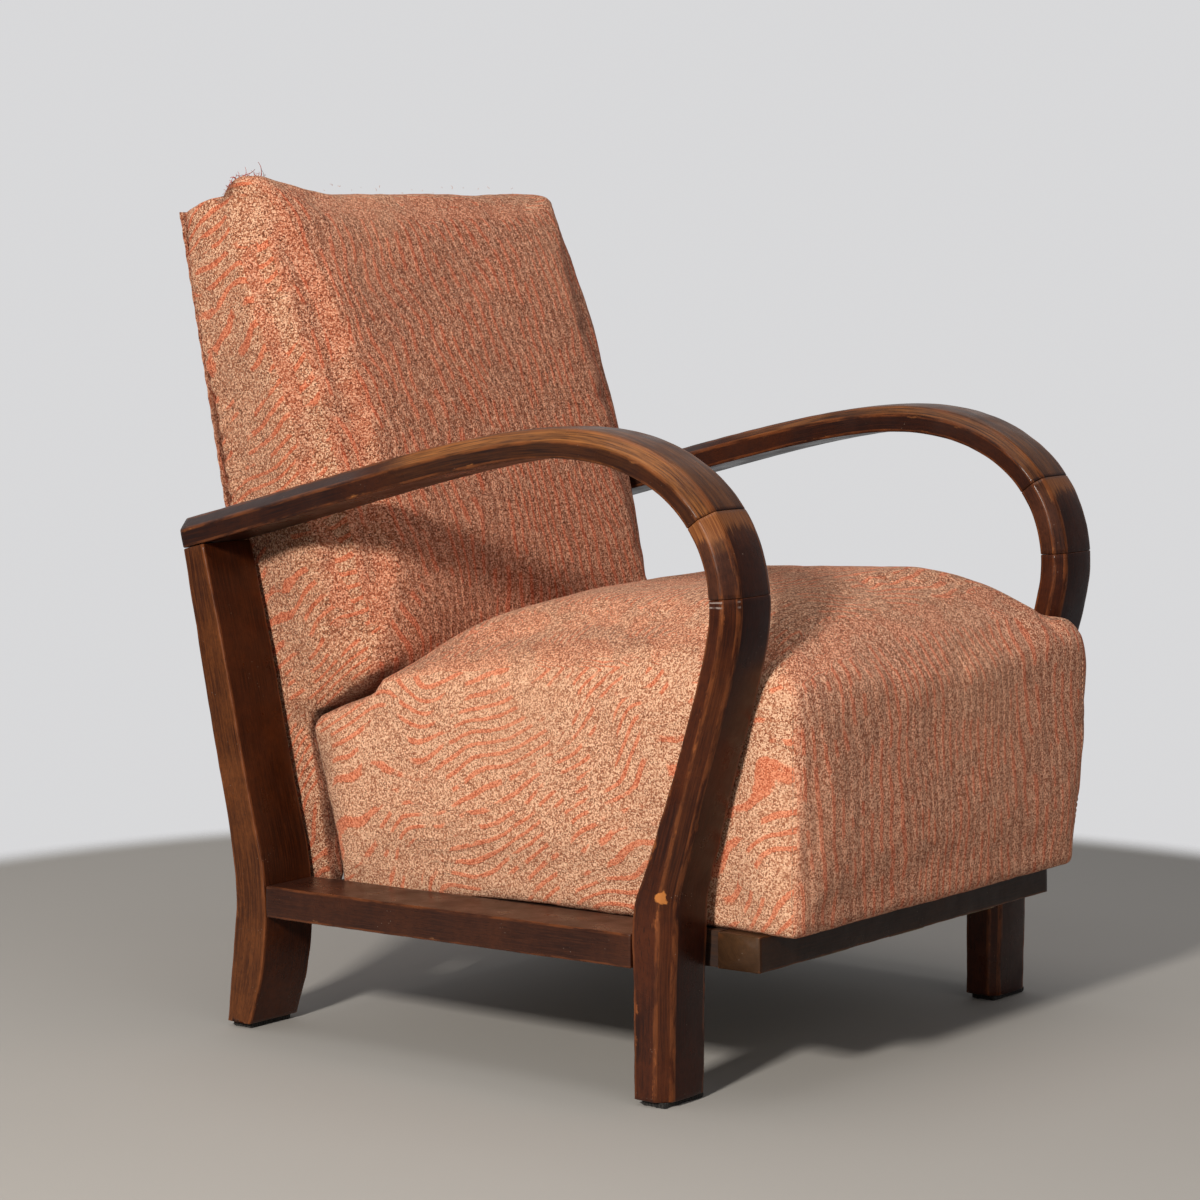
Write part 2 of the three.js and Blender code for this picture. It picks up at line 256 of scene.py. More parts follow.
    def stretched(self, vector: object, scale: Triple) -> Socket:
        """A vector scaled along each axis.

        Args:
            vector: The vector.
            scale: Factor along each axis.

        Returns:
            The scaled vector.
        """
        node = self.new("ShaderNodeMapping")
        self.feed(node.inputs["Vector"], vector)
        node.inputs["Scale"].default_value = scale
        return node.outputs[0]

    def attribute(self, name: str) -> Socket:
        """A number stored on the mesh."""
        return self.new("ShaderNodeAttribute", attribute_name=name).outputs["Fac"]

    def split(self, vector: object) -> Sequence[Socket]:
        """The three parts of a vector.

        Args:
            vector: The vector.

        Returns:
            Its parts along X, Y and Z.
        """
        node = self.new("ShaderNodeSeparateXYZ")
        self.feed(node.inputs[0], vector)
        return node.outputs

    def lone(self, x: object) -> Socket:
        """A vector along X.

        Args:
            x: Length along X.

        Returns:
            The vector.
        """
        node = self.new("ShaderNodeCombineXYZ")
        self.feed(node.inputs[0], x)
        return node.outputs[0]

    def bump(self, height: object, distance: float, strength: float = 1.0) -> Socket:
        """Normals from a height in metres times distance.

        Args:
            height: Height, in units of distance.
            distance: One unit, in metres.
            strength: Share of the effect.

        Returns:
            The normal.
        """
        node = self.new("ShaderNodeBump")
        node.inputs["Distance"].default_value = distance
        node.inputs["Strength"].default_value = strength
        self.feed(node.inputs["Height"], height)
        return node.outputs[0]

    def finish(self, colour: object, roughness: object = None, normal: object = None) -> Material:
        """Links colour, roughness and normal, and returns the material.

        Args:
            colour: Base colour.
            roughness: Roughness, if it varies.
            normal: Normal, if it is bumped.

        Returns:
            The material.
        """
        self.feed(self.shader.inputs["Base Color"], colour)
        if roughness is not None:
            self.feed(self.shader.inputs["Roughness"], roughness)
        if normal is not None:
            self.feed(self.shader.inputs["Normal"], normal)
        return self.material


# ---------------------------------------------------------------- finishes


@dataclass(frozen=True)
class WoodFields:
    """Values on the wood that every layer of a varnished finish reads."""

    grain: Socket  # metres along and around the wood
    fibre: Socket
    flame: Socket
    pores: Socket
    reach: Socket
    edge: Socket
    bevel: Socket
    outer: Socket  # 1 where the surface faces away from the chair's middle
    upper: Socket  # 1 where it faces up
    front: Socket  # 1 where it faces forwards or back

    @classmethod
    def of(cls, g: Graph) -> "WoodFields":
        """Adds the nodes of every field.

        Args:
            g: Graph of the material.

        Returns:
            The fields.
        """
        grain = g.new("ShaderNodeUVMap", uv_map="grain").outputs[0]
        across, along, up = g.split(g.new("ShaderNodeNewGeometry").outputs["Normal"])
        outwards = g.times(across, g.math("SIGN", g.split(g.place)[0]))
        return cls(
            grain=grain,
            fibre=g.noise(g.stretched(grain, (18.0, 640.0, 1.0)), 1.0, 4.0, 0.65, 0.4),
            flame=g.noise(g.stretched(grain, (7.0, 60.0, 1.0)), 1.0, 3.0, 0.55, 1.6),
            pores=g.noise(g.stretched(grain, (90.0, 1500.0, 1.0)), 1.0, 2.0, 0.5),
            reach=g.attribute("reach"),
            edge=g.attribute("edge"),
            bevel=g.attribute("bevel"),
            outer=g.step(outwards, 0.12, 0.4),
            upper=g.step(up, 0.25, 0.7),
            front=g.step(g.math("ABSOLUTE", along), 0.55, 0.95),
        )


@dataclass(frozen=True)
class Varnish:
    """Old dark varnish on beech: worn through along edges, with grain that follows the wood.

    The mesh carries UV map "grain" (metres along and around) and attributes "edge" (1 on a
    corner), "bevel" (1 on a bevel) and "reach" (0 to 1 along the whole piece).
    """

    name: str
    dark: Colour
    warm: Colour
    bare: Colour
    wear: float = 0.5
    golden: Triple = (2.0, 2.0, 0.0)  # from and to, along reach, and how much
    sheen_from: float = -1.0  # reach up to which the bevels carry a painted grey sheen
    stripped: float = -1.0  # reach up to which the varnish has gone from the outer corner
    fillers: Numbers = ()  # reach of each pale line of filler across the outer side
    chip: Numbers = ()  # middle of a chip knocked out of the varnish

    def make(self) -> Material:
        """Builds the material.

        Returns:
            The material.
        """
        g = Graph(self.name, 0.34, shine=0.22)
        wood = WoodFields.of(g)
        scuff = g.noise(g.stretched(wood.grain, (30.0, 90.0, 1.0)), 1.0, 5.0, 0.7)
        worn = g.times(g.step(g.blend(wood.edge, 0.20 * self.wear, scuff), 0.69, 0.79), 0.85)
        colour = self._stained(g, wood)
        colour = self._faded_to_gold(g, wood, colour)
        colour = g.mix(worn, colour, g.mix(g.step(wood.fibre, 0.35, 0.65), self.bare, self.warm))
        # Painted shade: faces turned forwards or back are drawn darker and redder.
        colour = g.mix(wood.front, colour, (0.50, 0.37, 0.31), "MULTIPLY")
        colour = self._rubbed(g, wood, colour)
        if self.stripped > 0:
            colour = self._stripped_off(g, wood, colour)
        for line in self.fillers:
            colour = self._filled(g, wood, colour, line)
        if self.chip:
            colour = self._chipped(g, colour)
        colour = self._specked(g, colour)
        roughness = g.ramp(g.blend(worn, 0.3, g.noise(g.place, 26.0, 4.0)), (0.3, 0.22), (0.75, 0.48))
        height = g.blend(wood.pores, 0.35, g.times(g.noise(g.place, 60.0, 4.0), 1.6))
        return g.finish(colour, roughness, g.bump(height, 0.0006, 0.45))

    def _stained(self, g: Graph, wood: WoodFields) -> Socket:
        """Clouded stain with darker pores and patches.

        Args:
            g: Graph of the material.
            wood: Fields of the wood.

        Returns:
            The colour of the stain.
        """
        cloud = g.noise(g.place, 9.0, 3.0, 0.6)
        colour = g.mix(g.step(cloud, 0.38, 0.68), self.dark, self.warm)
        colour = g.mix(g.times(g.step(wood.fibre, 0.40, 0.62), 0.7), colour, self.warm)
        colour = g.mix(g.times(g.step(wood.pores, 0.56, 0.66), 0.6), colour, (0.012, 0.006, 0.005))
        patchy = g.step(g.noise(g.place, 170.0, 4.0, 0.7), 0.42, 0.62)
        return g.mix(g.times(patchy, 0.30), colour, self.dark)

    def _faded_to_gold(self, g: Graph, wood: WoodFields, colour: Socket) -> Socket:
        """Golden wood along the outer bevel and on top, and a painted grey sheen on the bevels further back.

        Args:
            g: Graph of the material.
            wood: Fields of the wood.
            colour: Colour underneath.

        Returns:
            The colour with this layer on it.
        """
        low, high, amount = self.golden
        begun = g.step(wood.reach, low - 0.05, low + 0.04)
        zone = g.times(begun, g.step(wood.reach, high + 0.05, high - 0.03))
        gold = g.times(zone, g.blend(g.step(wood.flame, 0.30, 0.66), 0.7, 0.3))
        share = g.times(wood.outer, g.blend(wood.bevel, 0.80 * amount, 0.08 * amount))
        share = g.math("MAXIMUM", share, g.times(wood.upper, 0.50 * amount))
        streak = g.mix(g.step(wood.fibre, 0.3, 0.6), self.warm, self.bare)
        colour = g.mix(g.times(gold, share), colour, streak)
        # Painted sheen: bevels before sheen_from are greyed to stand in for a reflection of the surroundings.
        behind = g.step(wood.reach, self.sheen_from, self.sheen_from - 0.06)
        return g.mix(g.times(g.times(wood.bevel, behind), 0.7), colour, (0.05, 0.035, 0.034))

    @staticmethod
    def _rubbed(g: Graph, wood: WoodFields, colour: Socket) -> Socket:
        """Orange wood along the corners.

        Args:
            g: Graph of the material.
            wood: Fields of the wood.
            colour: Colour underneath.

        Returns:
            The colour with this layer on it.
        """
        patches = g.noise(g.stretched(wood.grain, (28.0, 160.0, 1.0)), 1.0, 4.0, 0.7)
        rub = g.times(g.step(wood.edge, 0.74, 1.0), g.step(patches, 0.36, 0.62))
        return g.mix(g.times(rub, 0.36), colour, (0.30, 0.090, 0.026))

    def _stripped_off(self, g: Graph, wood: WoodFields, colour: Socket) -> Socket:
        """Bare wood with a ragged end, from the start of the piece.

        Args:
            g: Graph of the material.
            wood: Fields of the wood.
            colour: Colour underneath.

        Returns:
            The colour with this layer on it.
        """
        ragged = g.blend(wood.flame, 0.45, g.blend(wood.fibre, 0.30, wood.reach))
        gone = g.step(ragged, self.stripped + 0.42, self.stripped + 0.30)
        gone = g.times(gone, g.math("MAXIMUM", wood.outer, wood.front))
        laid_bare = g.mix(g.step(wood.fibre, 0.3, 0.65), (0.34, 0.13, 0.04), (0.16, 0.05, 0.017))
        return g.mix(g.times(gone, 0.85), colour, laid_bare)

    @staticmethod
    def _filled(g: Graph, wood: WoodFields, colour: Socket, line: float) -> Socket:
        """A pale, crumbled line of filler across the outer side.

        Args:
            g: Graph of the material.
            wood: Fields of the wood.
            colour: Colour underneath.
            line: Reach of the line.

        Returns:
            The colour with this layer on it.
        """
        near = g.step(g.math("ABSOLUTE", g.math("SUBTRACT", wood.reach, line)), 0.0024, 0.0008)
        crumbled = g.step(g.noise(g.place, 90.0, 3.0), 0.30, 0.46)
        pale = g.times(g.times(near, crumbled), g.math("SUBTRACT", wood.outer, wood.bevel, clamp=True))
        return g.mix(g.times(pale, 0.8), colour, (0.33, 0.26, 0.23))

    def _chipped(self, g: Graph, colour: Socket) -> Socket:
        """A jagged chip down to the fresh wood.

        Args:
            g: Graph of the material.
            colour: Colour underneath.

        Returns:
            The colour with this layer on it.
        """
        gap = g.new("ShaderNodeVectorMath", operation="SUBTRACT")
        g.feed(gap.inputs[0], g.place)
        gap.inputs[1].default_value = self.chip
        size = g.new("ShaderNodeVectorMath", operation="LENGTH")
        g.feed(size.inputs[0], gap.outputs[0])
        jagged = g.blend(g.noise(g.place, 120.0, 3.0), 0.012, size.outputs["Value"])
        return g.mix(g.step(jagged, 0.0130, 0.0115), colour, (0.50, 0.18, 0.045))

    @staticmethod
    def _specked(g: Graph, colour: Socket) -> Socket:
        """A few pale specks of dried grime.

        Args:
            g: Graph of the material.
            colour: Colour underneath.

        Returns:
            The colour with this layer on it.
        """
        near_speck = g.step(g.cells(g.place, 260.0).outputs["Distance"], 0.12, 0.06)
        dots = g.times(near_speck, g.step(g.noise(g.place, 34.0), 0.6, 0.66))
        return g.mix(g.times(dots, 0.7), colour, (0.33, 0.25, 0.2))


@dataclass(frozen=True)
class PlainWood:
    """Bare or thinly stained wood whose grain runs along one axis of the chair."""

    name: str
    light: Colour
    dark: Colour
    stretch: Triple = (1.0, 0.06, 1.0)

    def make(self) -> Material:
        """Builds the material.

        Returns:
            The material.
        """
        g = Graph(self.name, 0.6)
        grain = g.noise(g.stretched(g.place, self.stretch), 260.0, 4.0, 0.6, 0.5)
        bands = g.noise(g.stretched(g.place, self.stretch), 40.0, 3.0, 0.5, 1.2)
        colour = g.mix(g.step(grain, 0.35, 0.68), self.light, self.dark)
        colour = g.mix(g.times(g.step(bands, 0.4, 0.7), 0.5), colour, self.dark)
        grime = g.step(g.noise(g.place, 14.0, 5.0, 0.7), 0.5, 0.75)
        colour = g.mix(g.times(grime, 0.45), colour, (0.03, 0.02, 0.015))
        return g.finish(colour, g.ramp(grain, (0.3, 0.45), (0.7, 0.72)), g.bump(grain, 0.0005, 0.5))


@dataclass(frozen=True)
class Cover:
    """Nubby woven cover: cream, salmon and dark knots, with meandering red strokes and soft ribs."""

    name: str
    # Painted light and shade: how much lighter or darker this copy of the cover is drawn.
    shade: float = 1.0
    stroke: float = 1.0
    rib: float = 0.5
    lift: float = 0.0  # painted light: how much paler the knots are drawn where the cover doesn't face up
    knots: float = 780.0  # knots to a metre
    pitch: float = 0.0145  # from one rib to the next

    def make(self) -> Material:
        """Builds the material.

        Returns:
            The material.
        """
        g = Graph(self.name, 0.92, sheen=0.05, shine=0.1)
        geometry = g.new("ShaderNodeNewGeometry")
        nx, ny, nz = (g.math("ABSOLUTE", part) for part in g.split(geometry.outputs["Normal"]))
        sideways, upwards = g.step(nx, 0.45, 0.8), g.step(nz, 0.62, 0.86)
        knots = g.cells(g.place, self.knots)
        fine = g.noise(g.place, 900.0, 2.0, 0.6)
        tone = g.blend(g.split(knots.outputs["Color"])[0], 0.68, g.times(fine, 0.5))
        # Painted light: knots are drawn paler where the cover doesn't face up, by lift.
        tone = g.math("ADD", tone, g.blend(upwards, -self.lift, self.lift - 0.05))
        base = g.ramp(
            tone,
            (0.16, (0.075, 0.022, 0.011)),
            (0.36, (0.35, 0.120, 0.060)),
            (0.56, (0.56, 0.235, 0.128)),
            (0.86, (0.98, 0.62, 0.41)),
        )
        wave = self._wave(g, sideways, upwards)
        wobble = g.blend(g.noise(g.place, 300.0, 1.0), 0.7, -0.35)
        rough_wave = g.math("ADD", wobble, wave)
        line = g.step(rough_wave, 0.40, 0.68)
        gaps = g.noise(g.place, 26.0, 2.0)
        stroke = g.times(g.times(line, g.step(gaps, 0.44, 0.49)), self.stroke)
        reds = ((0.15, (0.34, 0.050, 0.018)), (0.45, (0.66, 0.125, 0.050)), (0.8, (0.90, 0.26, 0.12)))
        colour = g.mix(g.times(stroke, g.blend(sideways, 0.14, 0.56)), base, g.ramp(tone, *reds))
        rib = g.times(g.step(rough_wave, -0.35, -0.75), g.step(gaps, 0.60, 0.46))
        dark_rib = g.times(rib, g.blend(sideways, -0.40, 0.55 * self.rib))
        colour = g.mix(dark_rib, colour, (0.13, 0.040, 0.024))
        # Painted shade: faces turned forwards or back are drawn darker.
        colour = g.mix(g.step(ny, 0.35, 0.9), colour, (0.94, 0.83, 0.83), "MULTIPLY")
        colour = self._soiled(g, colour)
        relief = g.blend(g.math("SUBTRACT", 1.0, knots.outputs["Distance"]), 0.8, fine)
        relief = g.blend(wave, 0.22, g.blend(line, 0.35, relief))
        return g.finish(colour, 0.92, g.bump(relief, 0.0011, 0.9))

    def _wave(self, g: Graph, sideways: Socket, upwards: Socket) -> Socket:
        """A wandering wave, from -1 to 1, across the ribs and strokes of each face.

        Args:
            g: Graph of the material.
            sideways: 1 where the cover faces a side.
            upwards: 1 where it faces up.

        Returns:
            The wave.
        """
        x, y, z = g.split(g.place)
        warp = g.noise(g.place, 3.4, 2.0, 0.5, 0.3)
        wander = g.noise(g.place, 11.0, 2.0, 0.5)
        along_side = g.blend(y, 0.55, g.times(z, 0.72))
        along_top = g.blend(x, 0.15, y)
        along_front = g.blend(z, 0.12, x)
        facing = g.mix(upwards, g.lone(along_front), g.lone(along_top))
        spread = g.split(g.mix(sideways, facing, g.lone(along_side)))[0]
        drift = g.times(warp, g.blend(sideways, 0.12, 0.13))
        course = g.blend(wander, 0.025, g.math("ADD", drift, spread))
        turns = g.blend(upwards, 190.0, 2.0 * math.pi / self.pitch)
        return g.math("SINE", g.times(course, turns))

    def _soiled(self, g: Graph, colour: Socket) -> Socket:
        """Stains, faded patches, the grime and painted shade stored on the mesh, and the painted light of the
        whole copy.

        Args:
            g: Graph of the material.
            colour: Colour underneath.

        Returns:
            The colour with this layer on it.
        """
        soil = g.step(g.noise(g.place, 7.0, 5.0, 0.65), 0.5, 0.8)
        colour = g.mix(g.times(soil, 0.18), colour, (0.20, 0.12, 0.08))
        faded = g.step(g.noise(g.place, 4.0, 3.0), 0.48, 0.75)
        colour = g.mix(g.times(faded, 0.16), colour, (0.78, 0.42, 0.25))
        # Grime and painted shade stored on the mesh, towards near black.
        colour = g.mix(g.times(g.attribute("dirt"), 0.75), colour, (0.05, 0.02, 0.013))
        # Painted light and shade: the whole copy is scaled by shade.
        return g.mix(1.0, colour, (self.shade, self.shade, self.shade), "MULTIPLY")


@dataclass(frozen=True)
class Fibre:
    """Coarse woven or felted fibre."""

    name: str
    light: Colour
    dark: Colour
    pitch: float = 0.0035

    def make(self) -> Material:
        """Builds the material.

        Returns:
            The material.
        """
        g = Graph(self.name, 0.95, sheen=0.05)
        x, y, _ = g.split(g.place)
        turns = 2.0 * math.pi / self.pitch
        weave = g.times(g.math("SINE", g.times(x, turns)), g.math("SINE", g.times(y, turns)))
        fuzz = g.noise(g.place, 420.0, 4.0, 0.7)
        tone = g.blend(weave, 0.22, fuzz)
        colour = g.mix(g.step(tone, 0.3, 0.75), self.dark, self.light)
        stain = g.step(g.noise(g.place, 11.0, 5.0, 0.7), 0.52, 0.75)
        colour = g.mix(g.times(stain, 0.5), colour, self.dark)
        return g.finish(colour, 0.95, g.bump(tone, 0.0012, 0.8))


@dataclass(frozen=True)
class OldSteel:
    """Dull steel with rust."""

    name: str

    def make(self) -> Material:
        """Builds the material.

        Returns:
            The material.
        """
        g = Graph(self.name, 0.45)
        g.shader.inputs["Metallic"].default_value = 0.8
        rust = g.step(g.noise(g.place, 90.0, 5.0, 0.7), 0.45, 0.62)
        colour = g.mix(rust, (0.23, 0.21, 0.2), (0.16, 0.06, 0.025))
        return g.finish(colour, g.ramp(rust, (0.0, 0.4), (1.0, 0.85)), g.bump(rust, 0.0002, 0.4))


class Finishes:
    """Every finish of the chair, made once."""

    def __init__(self) -> None:
        """Makes the materials."""
        purple: Colour = (0.017, 0.0075, 0.0065)
        brown: Colour = (0.046, 0.0135, 0.0065)
        gold: Colour = (0.36, 0.135, 0.035)
        self.arm = Varnish(
            "arm_varnish", purple, brown, gold, 0.5, golden=(0.44, 1.10, 1.0), sheen_from=0.40
        ).make()
        self.bend = Varnish(
            "bend_varnish", purple, (0.085, 0.028, 0.014), gold, 0.75, golden=(0.0, 0.45, 0.7), stripped=0.24
        ).make()
        self.front_leg = Varnish(
            "front_leg_varnish",
            dark=(0.022, 0.007, 0.005),
            warm=(0.072, 0.018, 0.007),
            bare=(0.34, 0.105, 0.028),
            wear=0.7,
            golden=(-0.1, 1.2, 0.20),
            fillers=(0.004, 0.0145),
            chip=(-0.3197, -0.2885, 0.1955),
        ).make()
        self.rear_leg = Varnish(
            "rear_leg_varnish",
            dark=(0.042, 0.012, 0.005),
            warm=(0.150, 0.046, 0.013),
            bare=(0.28, 0.11, 0.035),
            wear=0.4,
            golden=(0.25, 1.1, 0.5),
        ).make()
        self.rail = Varnish(
            "rail_varnish", (0.027, 0.010, 0.007), (0.062, 0.020, 0.010), (0.3, 0.14, 0.06), 0.4
        ).make()
        self.front_rail = Varnish(
            "front_rail_varnish", (0.030, 0.014, 0.007), (0.072, 0.034, 0.015), (0.3, 0.17, 0.08), 0.6
        ).make()
        self.aged = PlainWood("aged_frame_wood", (0.055, 0.024, 0.012), (0.020, 0.009, 0.006)).make()
        self.plain = PlainWood("bare_beech", (0.42, 0.27, 0.14), (0.2, 0.11, 0.05)).make()
        self.cover = Cover("cover", lift=0.105).make()
        # Painted shade: the back's cover and the outer cover are darker copies of the same cloth.
        self.back_cover = Cover("back_cover", shade=0.97).make()
        self.outer_cover = Cover("outer_cover", shade=0.8, stroke=0.8).make()
        self.jute = Fibre("jute", (0.36, 0.26, 0.14), (0.09, 0.06, 0.03)).make()
        self.canvas = Fibre("canvas", (0.4, 0.32, 0.2), (0.16, 0.12, 0.07), 0.002).make()
        self.felt = Fibre("felt", (0.03, 0.027, 0.025), (0.006, 0.005, 0.005)).make()
        self.thread = Fibre("red_thread", (0.62, 0.10, 0.06), (0.28, 0.04, 0.025)).make()
        self.pale_thread = Fibre("pale_thread", (0.72, 0.42, 0.27), (0.4, 0.19, 0.11)).make()
        self.dark_thread = Fibre("dark_thread", (0.10, 0.035, 0.02), (0.03, 0.012, 0.008)).make()
        self.steel = OldSteel("spring_steel").make()


# ---------------------------------------------------------------- meshes


def mesh_object(name: str, points: object, faces: object, smooth: bool = True) -> Piece:
    """Makes an object at the origin from points and faces.

    Args:
        name: Name of the piece.
        points: Points, in metres.
        faces: Faces as lists of point numbers, facing out.
        smooth: Whether the faces are smooth shaded.

    Returns:
        The object, linked to the scene.
    """
    mesh = bpy.data.meshes.new(name)
    mesh.from_pydata([tuple(map(float, p)) for p in points], [], [tuple(map(int, f)) for f in faces])
    mesh.update()
    for polygon in mesh.polygons:
        polygon.use_smooth = smooth
    piece = bpy.data.objects.new(name, mesh)
    bpy.context.collection.objects.link(piece)
    return piece


def ring_faces(rings: int, around: int) -> list[tuple[int, ...]]:
    """Faces of a closed length: quads between rings of points, and a cap at each end.

    Args:
        rings: Number of rings.
        around: Points in each ring.

    Returns:
        The faces, as point numbers.
    """
    faces = []
    for i in range(rings - 1):
        for j in range(around):
            a, b = i * around + j, i * around + (j + 1) % around
            faces.append((a, b, b + around, a + around))
    last = (rings - 1) * around
    return [*faces, tuple(range(around))[::-1], tuple(range(last, last + around))]


def facing_out(piece: Piece, merge: float = 1e-7) -> Piece:
    """Merges doubles and turns every face outwards.

    Args:
        piece: The piece.
        merge: Distance within which points are one.

    Returns:
        The same piece.
    """
    work = bmesh.new()
    work.from_mesh(piece.data)
    bmesh.ops.remove_doubles(work, verts=work.verts, dist=merge)
    bmesh.ops.recalc_face_normals(work, faces=work.faces)
    work.to_mesh(piece.data)
    work.free()
    return piece


def two_skins(name: str, upper: np.ndarray, lower: np.ndarray, columns: int) -> Piece:
    """A sheet of two skins, joined around the rim.

    Args:
        name: Name of the piece.
        upper: Points of the upper skin, row after row.
        lower: Points of the lower skin, in the same order.
        columns: Number of points in a row.

    Returns:
        The closed sheet.
    """
    count = len(upper)
    grid = np.arange(count).reshape(-1, columns)
    faces = []
    for a in grid[:-1, :-1].ravel():
        b, c, d = a + 1, a + columns + 1, a + columns
        faces += [(a, b, c, d), (count + a, count + d, count + c, count + b)]
    rim = [*grid[0], *grid[1:, -1], *grid[-1, -2::-1], *grid[-2:0:-1, 0]]
    faces += [(a, b, count + b, count + a) for a, b in zip(rim, rim[1:] + rim[:1])]
    return facing_out(mesh_object(name, np.vstack([upper, lower]), faces))


def places(piece: Piece) -> np.ndarray:
    """All points of a piece as an array.

    Args:
        piece: The piece.

    Returns:
        The points, one in each row.
    """
    flat = np.empty(len(piece.data.vertices) * 3)
    piece.data.vertices.foreach_get("co", flat)
    return flat.reshape(-1, 3)


def place_all(piece: Piece, points: np.ndarray) -> None:
    """Moves all points of a piece."""
    piece.data.vertices.foreach_set("co", points.ravel())
    piece.data.update()


def store(piece: Piece, name: str, values: np.ndarray) -> None:
    """Stores one number for each point."""
    layer = piece.data.attributes.new(name, "FLOAT", "POINT")
    layer.data.foreach_set("value", np.asarray(values, dtype=np.float32))


def dress(piece: Piece, material: Material, slot: str, *nodes: str) -> Piece:
    """Gives a finished piece its material and its body, and hides the CAD nodes that it stands for.

    Args:
        piece: The finished piece.
        material: Its material.
        slot: Not used.
        *nodes: CAD nodes that it stands for.

    Returns:
        The same piece.
    """
    piece.data.materials.clear()
    piece.data.materials.append(material)
    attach(piece, BODY)
    if nodes:
        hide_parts(*nodes)
    LOG.info("%s: %d faces", piece.name, len(piece.data.polygons))
    return piece


def bump_field(points: np.ndarray, size: float, seed: float = 0.0) -> np.ndarray:
    """Smooth noise from -1 to 1 with lumps of about the given size."""
    shift = Vector((seed, 1.7 * seed, -seed))
    return np.array([smooth_noise(Vector(p) / size + shift) for p in points])


def ease(value: np.ndarray, low: float, high: float) -> np.ndarray:
    """Rises smoothly from 0 at low to 1 at high, which may be the lower number."""
    share = np.clip((value - low) / (high - low), 0.0, 1.0)
    return share * share * (3.0 - 2.0 * share)


def bezier(points: Outline, t: np.ndarray) -> np.ndarray:
    """Points of a cubic curve in the side view.

    Args:
        points: The four points that shape the curve.
        t: Shares of the way along it.

    Returns:
        The points.
    """
    a, b, c, d = (np.array(p) for p in points)
    s = t[:, None]
    return a * (1 - s) ** 3 + 3 * b * s * (1 - s) ** 2 + 3 * c * s * s * (1 - s) + d * s**3


def rounded_outline(corners: Outline, radii: Numbers, steps: int = 5) -> np.ndarray:
    """A closed outline with rounded corners.

    Args:
        corners: Corner points in order.
        radii: Distance along both edges at which each corner's rounding starts.
        steps: Number of stretches in each corner.

    Returns:
        The outline's points, in the same order.
    """
    points = []
    count = len(corners)
    for i in range(count):
        here = np.array(corners[i])
        back = np.array(corners[i - 1]) - here
        ahead = np.array(corners[(i + 1) % count]) - here
        start = here + back / np.linalg.norm(back) * radii[i]
        end = here + ahead / np.linalg.norm(ahead) * radii[i]
        for t in np.linspace(0.0, 1.0, steps + 1):
            points.append(start * (1 - t) ** 2 + here * 2 * t * (1 - t) + end * t * t)
    return np.array(points)


def spline_through(points: Outline, count: int) -> np.ndarray:
    """Points of a smooth curve through the given ones, evenly spread over its stretches.

    Args:
        points: Points on the curve.
        count: Number of points wanted.

    Returns:
        The points.
    """
    p = np.array(points)
    p = np.vstack([2 * p[0] - p[1], p, 2 * p[-1] - p[-2]])
    result = []
    for s in np.linspace(0, len(points) - 1, count):
        i = min(int(s), len(points) - 2)
        t = s - i
        a, b, c, d = p[i : i + 4]
        square, cube = 2 * a - 5 * b + 4 * c - d, 3 * b - a - 3 * c + d
        result.append(0.5 * (2 * b + (c - a) * t + square * t**2 + cube * t**3))
    return np.array(result)


@dataclass
class Section:
    """A closed section around a length of wood, with marks of its corners and bevels."""

    corners: Outline
    radii: Numbers
    bevels: Sequence[int] = ()  # numbers of the edges that are bevels
    counts: Sequence[int] = ()  # stretches along each edge; by spacing where empty
    spacing: float = 0.0045

    def points(self) -> tuple[np.ndarray, np.ndarray, np.ndarray]:
        """Points around the section, nearness to a corner, and whether on a bevel.

        Returns:
            Three arrays, each with one row for each point.
        """
        steps = 4
        corner_points = rounded_outline(self.corners, self.radii, steps).reshape(-1, steps + 1, 2)
        places_, edge, bevel = [], [], []
        for i in range(len(self.corners)):
            after = corner_points[(i + 1) % len(self.corners)][0]
            arc = corner_points[i]
            on_bevel = 1.0 if i in self.bevels else 0.0
            was_bevel = 1.0 if (i - 1) % len(self.corners) in self.bevels else 0.0
            for k, place in enumerate(arc):
                places_.append(place)
                edge.append(1.0)
                bevel.append(was_bevel + (on_bevel - was_bevel) * k / steps)
            length = np.linalg.norm(after - arc[-1])
            count = self.counts[i] if self.counts else max(2, int(length / self.spacing))
            for t in np.linspace(0, 1, count + 1)[1:-1]:
                places_.append(arc[-1] + (after - arc[-1]) * t)
                edge.append(math.exp(-min(t, 1 - t) * length / 0.0022))
                bevel.append(on_bevel)
        return np.array(places_), np.array(edge), np.array(bevel)


